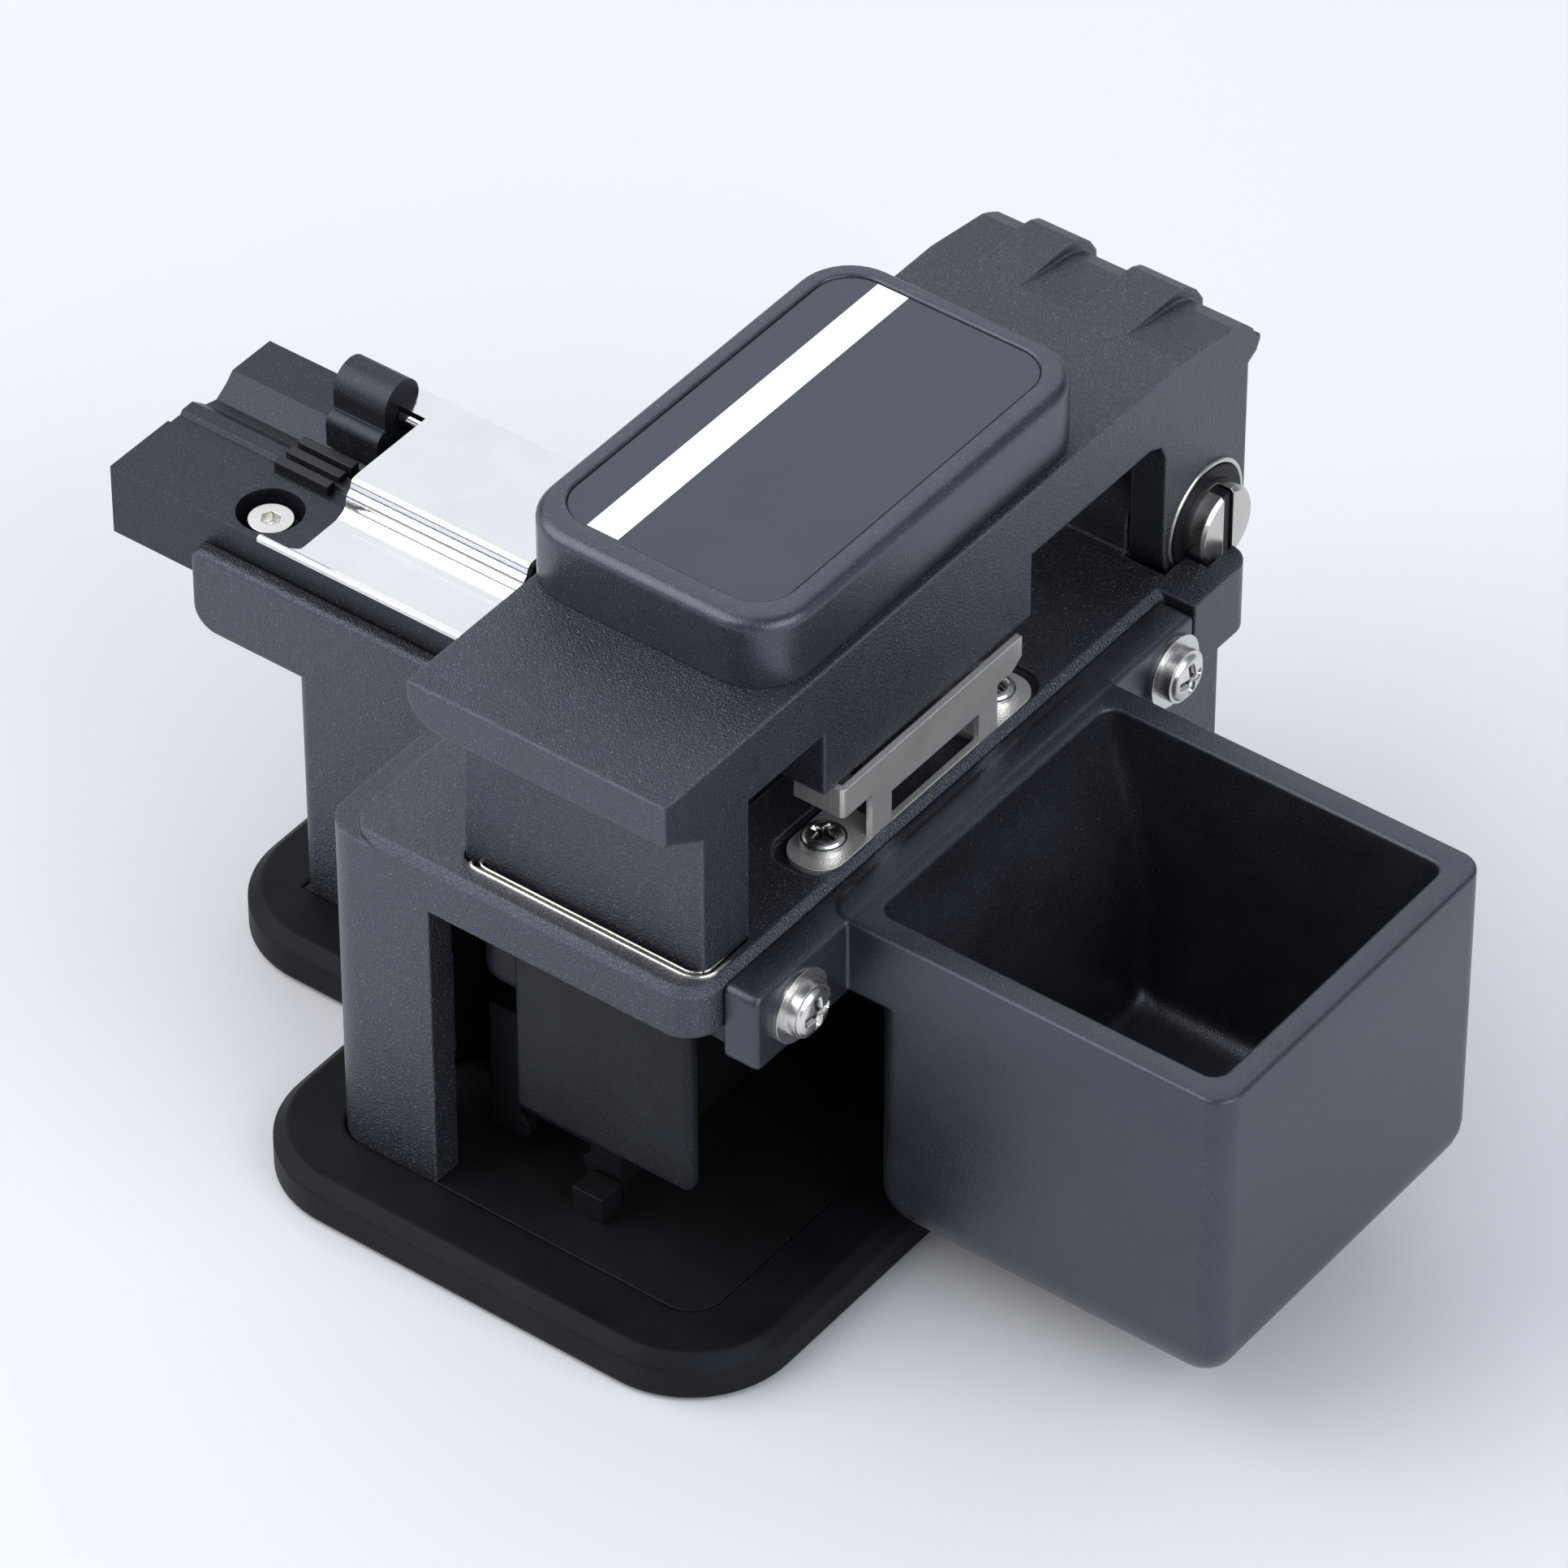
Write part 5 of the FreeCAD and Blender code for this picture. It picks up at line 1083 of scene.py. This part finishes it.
@dataclass
class PocketRim:
    """Pair of bright worn lines along the front of the leg's pocket, in millimetres: bare metal, and the
    two lines with their gap are painted highlights of one glossy rounded lip.
    """

    finish: bpy.types.Material
    level: float = 33.7
    left_in: float = 2.6
    front_in: float = 0.1
    right_out: float = 0.55
    out: float = 0.95
    corner: float = 1.9
    wrap: float = 1.6
    tall: float = 1.6
    taper: float = 0.25
    highlight_lines: tuple[Flat, ...] = ((0.12, 0.2), (-0.42, 0.15))
    lead: tuple[Flat, ...] = ((0.0, 0.9), (0.15, 0.35), (0.6, 0.05), (1.1, 0.0))

    def build(self) -> bpy.types.Object:
        """Make both lines.

        Returns:
            The pair as one piece.
        """
        low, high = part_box("arm")
        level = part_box("base_casting")[0][2] + self.level * MM
        left, right = low[0] + self.left_in * MM, high[0] + self.right_out * MM
        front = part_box("push_block")[0][1] + self.front_in * MM
        mesh = bmesh.new()
        for shift, size in self.highlight_lines:
            path = self.path(left - shift * MM, front - (self.out + shift) * MM, right + shift * MM,
                             (self.corner + shift) * MM)
            rows = []
            for n, ((x, y), run) in enumerate(zip(path, runs(path))):
                thick = size * MM * (self.taper if n in (0, len(path) - 1) else 1.0)
                rows.append([(x - run.y * thick * math.cos(a), y + run.x * thick * math.cos(a),
                              level + self.tall * thick * math.sin(a))
                             for a in (math.pi * k / 8 for k in range(9))])
            skin(mesh, spread(mesh, rows), closed=False, capped=False)
        return new_piece("pocket_rim", mesh, self.finish, Body.BASE, smooth=True)

    def path(self, left: float, front: float, right: float, turn: float) -> list[Flat]:
        """Draw one line round the pocket's front.

        Args:
            left: Its left end.
            front: Its front.
            right: Its right end.
            turn: The rounding of its corner.

        Returns:
            Points in X and Y, in metres.
        """
        points = [(left + x * MM, front + y * MM) for x, y in self.lead]
        points.append((right - turn, front))
        points += [(right - turn + turn * sine, front + turn - turn * cosine)
                   for sine, cosine in quarter(8, first=1)]
        points.append((right, front + turn + self.wrap * MM))
        return points


@dataclass(frozen=True)
class Lamp:
    """One soft box that points at the object, in metres and watts."""

    name: str
    spot: Point
    size: Flat
    power: float
    colour: Colour
    aim: Point = (0.0, 0.0, 0.03)

    def build(self) -> None:
        """Put the lamp up."""
        data = bpy.data.lights.new(self.name, "AREA")
        data.shape = "RECTANGLE"
        data.size, data.size_y = self.size
        data.energy = self.power
        data.color = self.colour
        thing = bpy.data.objects.new(self.name, data)
        thing.location = self.spot
        towards = Vector(self.aim) - Vector(self.spot)
        thing.rotation_euler = towards.to_track_quat("-Z", "Y").to_euler()
        bpy.context.scene.collection.objects.link(thing)


LAMPS = (
    Lamp("key", (-0.5, -0.4, 0.62), (1.0, 1.0), 9.1, (1.0, 0.99, 0.98)),
    Lamp("fill", (0.7, -0.1, 0.45), (0.8, 0.6), 4.8, (0.95, 0.98, 1.0)),
    Lamp("rear", (-0.42, 0.58, 0.62), (1.1, 0.85), 2.7, (0.96, 0.98, 1.0), aim=(0.0, 0.0, 0.04)),
)


@dataclass
class Studio:
    """Camera, lamps, pale floor and backdrop."""

    position: Point = (0.36441, -0.47962, 0.55010)
    right: Point = (0.79775, 0.60299, -0.00118)
    back: Point = (0.45538, -0.60118, 0.65667)
    lens: float = 228.9
    sensor: float = 36.0
    ambient: tuple[Colour, float] = ((0.80, 0.86, 1.0), 0.64)
    mirrored: tuple[Colour, float] = ((0.80, 0.87, 1.0), 0.27)
    seen: tuple[Colour, float] = ((0.87, 0.88, 0.92), 1.0)
    floor_size: float = 1.6
    floor_tones: tuple[Colour, Colour] = ((0.61, 0.615, 0.63), (0.625, 0.63, 0.645))

    def camera(self) -> None:
        """Set the camera at the photograph's viewing angle."""
        data = bpy.data.cameras.new("camera")
        data.lens = self.lens
        data.sensor_width = self.sensor
        data.clip_start = 0.05
        data.clip_end = 10.0
        thing = bpy.data.objects.new("camera", data)
        bpy.context.scene.collection.objects.link(thing)
        back = Vector(self.back).normalized()
        right = Vector(self.right).normalized()
        up = back.cross(right)
        turn = Matrix((right, up, back)).transposed().to_4x4()
        thing.matrix_world = Matrix.Translation(self.position) @ turn
        bpy.context.scene.camera = thing

    def world(self) -> None:
        """Make the pale world: one tone is seen, one mirrored, and one lights the object."""
        world = bpy.data.worlds.new("studio")
        bpy.context.scene.world = world
        world.use_nodes = True
        nodes, links = world.node_tree.nodes, world.node_tree.links
        path = nodes.new("ShaderNodeLightPath")
        tones = [nodes["Background"], nodes.new("ShaderNodeBackground"),
                 nodes.new("ShaderNodeBackground")]
        for tone, (colour, strength) in zip(tones, (self.ambient, self.mirrored, self.seen)):
            tone.inputs["Color"].default_value = (*colour, 1.0)
            tone.inputs["Strength"].default_value = strength
        result = tones[0].outputs[0]
        for tone, ray in zip(tones[1:], ("Is Glossy Ray", "Is Camera Ray")):
            mix = nodes.new("ShaderNodeMixShader")
            links.new(path.outputs[ray], mix.inputs[0])
            links.new(result, mix.inputs[1])
            links.new(tone.outputs[0], mix.inputs[2])
            result = mix.outputs[0]
        links.new(result, nodes["World Output"].inputs["Surface"])

    def floor(self) -> None:
        """Lay the pale floor."""
        mesh = bmesh.new()
        bmesh.ops.create_grid(mesh, x_segments=2, y_segments=2, size=self.floor_size)
        data = bpy.data.meshes.new("floor")
        mesh.to_mesh(data)
        mesh.free()
        floor = bpy.data.objects.new("floor", data)
        bpy.context.scene.collection.objects.link(floor)
        graph = Graph("floor")
        spots = graph.add("ShaderNodeTexCoord").outputs["Object"]
        graph.join(graph.mix(graph.noise(spots, 3.0, 2.0), *self.floor_tones),
                   graph.shader.inputs["Base Color"])
        graph.shader.inputs["Roughness"].default_value = 0.6
        graph.shader.inputs["Specular IOR Level"].default_value = 0.2
        data.materials.append(graph.material)

    def build(self) -> None:
        """Set up everything round the object."""
        self.camera()
        self.world()
        self.floor()
        for lamp in LAMPS:
            lamp.build()
        LOG.info("studio ready")


def main() -> None:
    """Build every sub-assembly in order."""
    logging.basicConfig(level=logging.INFO, format="%(message)s")
    bpy.context.scene.view_settings.view_transform = "Standard"
    Studio().build()
    finishes = Dressing().build()
    steel, dark = finishes["screw_steel"], finishes["inner_black"]
    LabelStripe(finishes["stripe"]).build()
    ArmCap(finishes["cap_plastic"]).build()
    ClampLid(finishes["lid_steel"]).build()
    PocketRim(finishes["bare_edge"]).build()
    ScrapBox(finishes["box_plastic"]).build()
    PushBlock(finishes["slider_metal"]).build()
    PivotEnd(finishes["pin_steel"], dark).build()
    for screws in (PanScrews("scrap_box_screws", steel, sideways=True, radius=2.4, high=1.7, cross=1.5,
                             deep=1.0),
                   PanScrews("guide_screws", steel, sideways=False, radius=1.95, high=1.3, cross=1.2,
                             deep=0.8)):
        screws.build()
        # Dark floors in the screw recesses are painted shade.
        screws.shade_recess(dark)


if __name__ == "__main__":
    main()
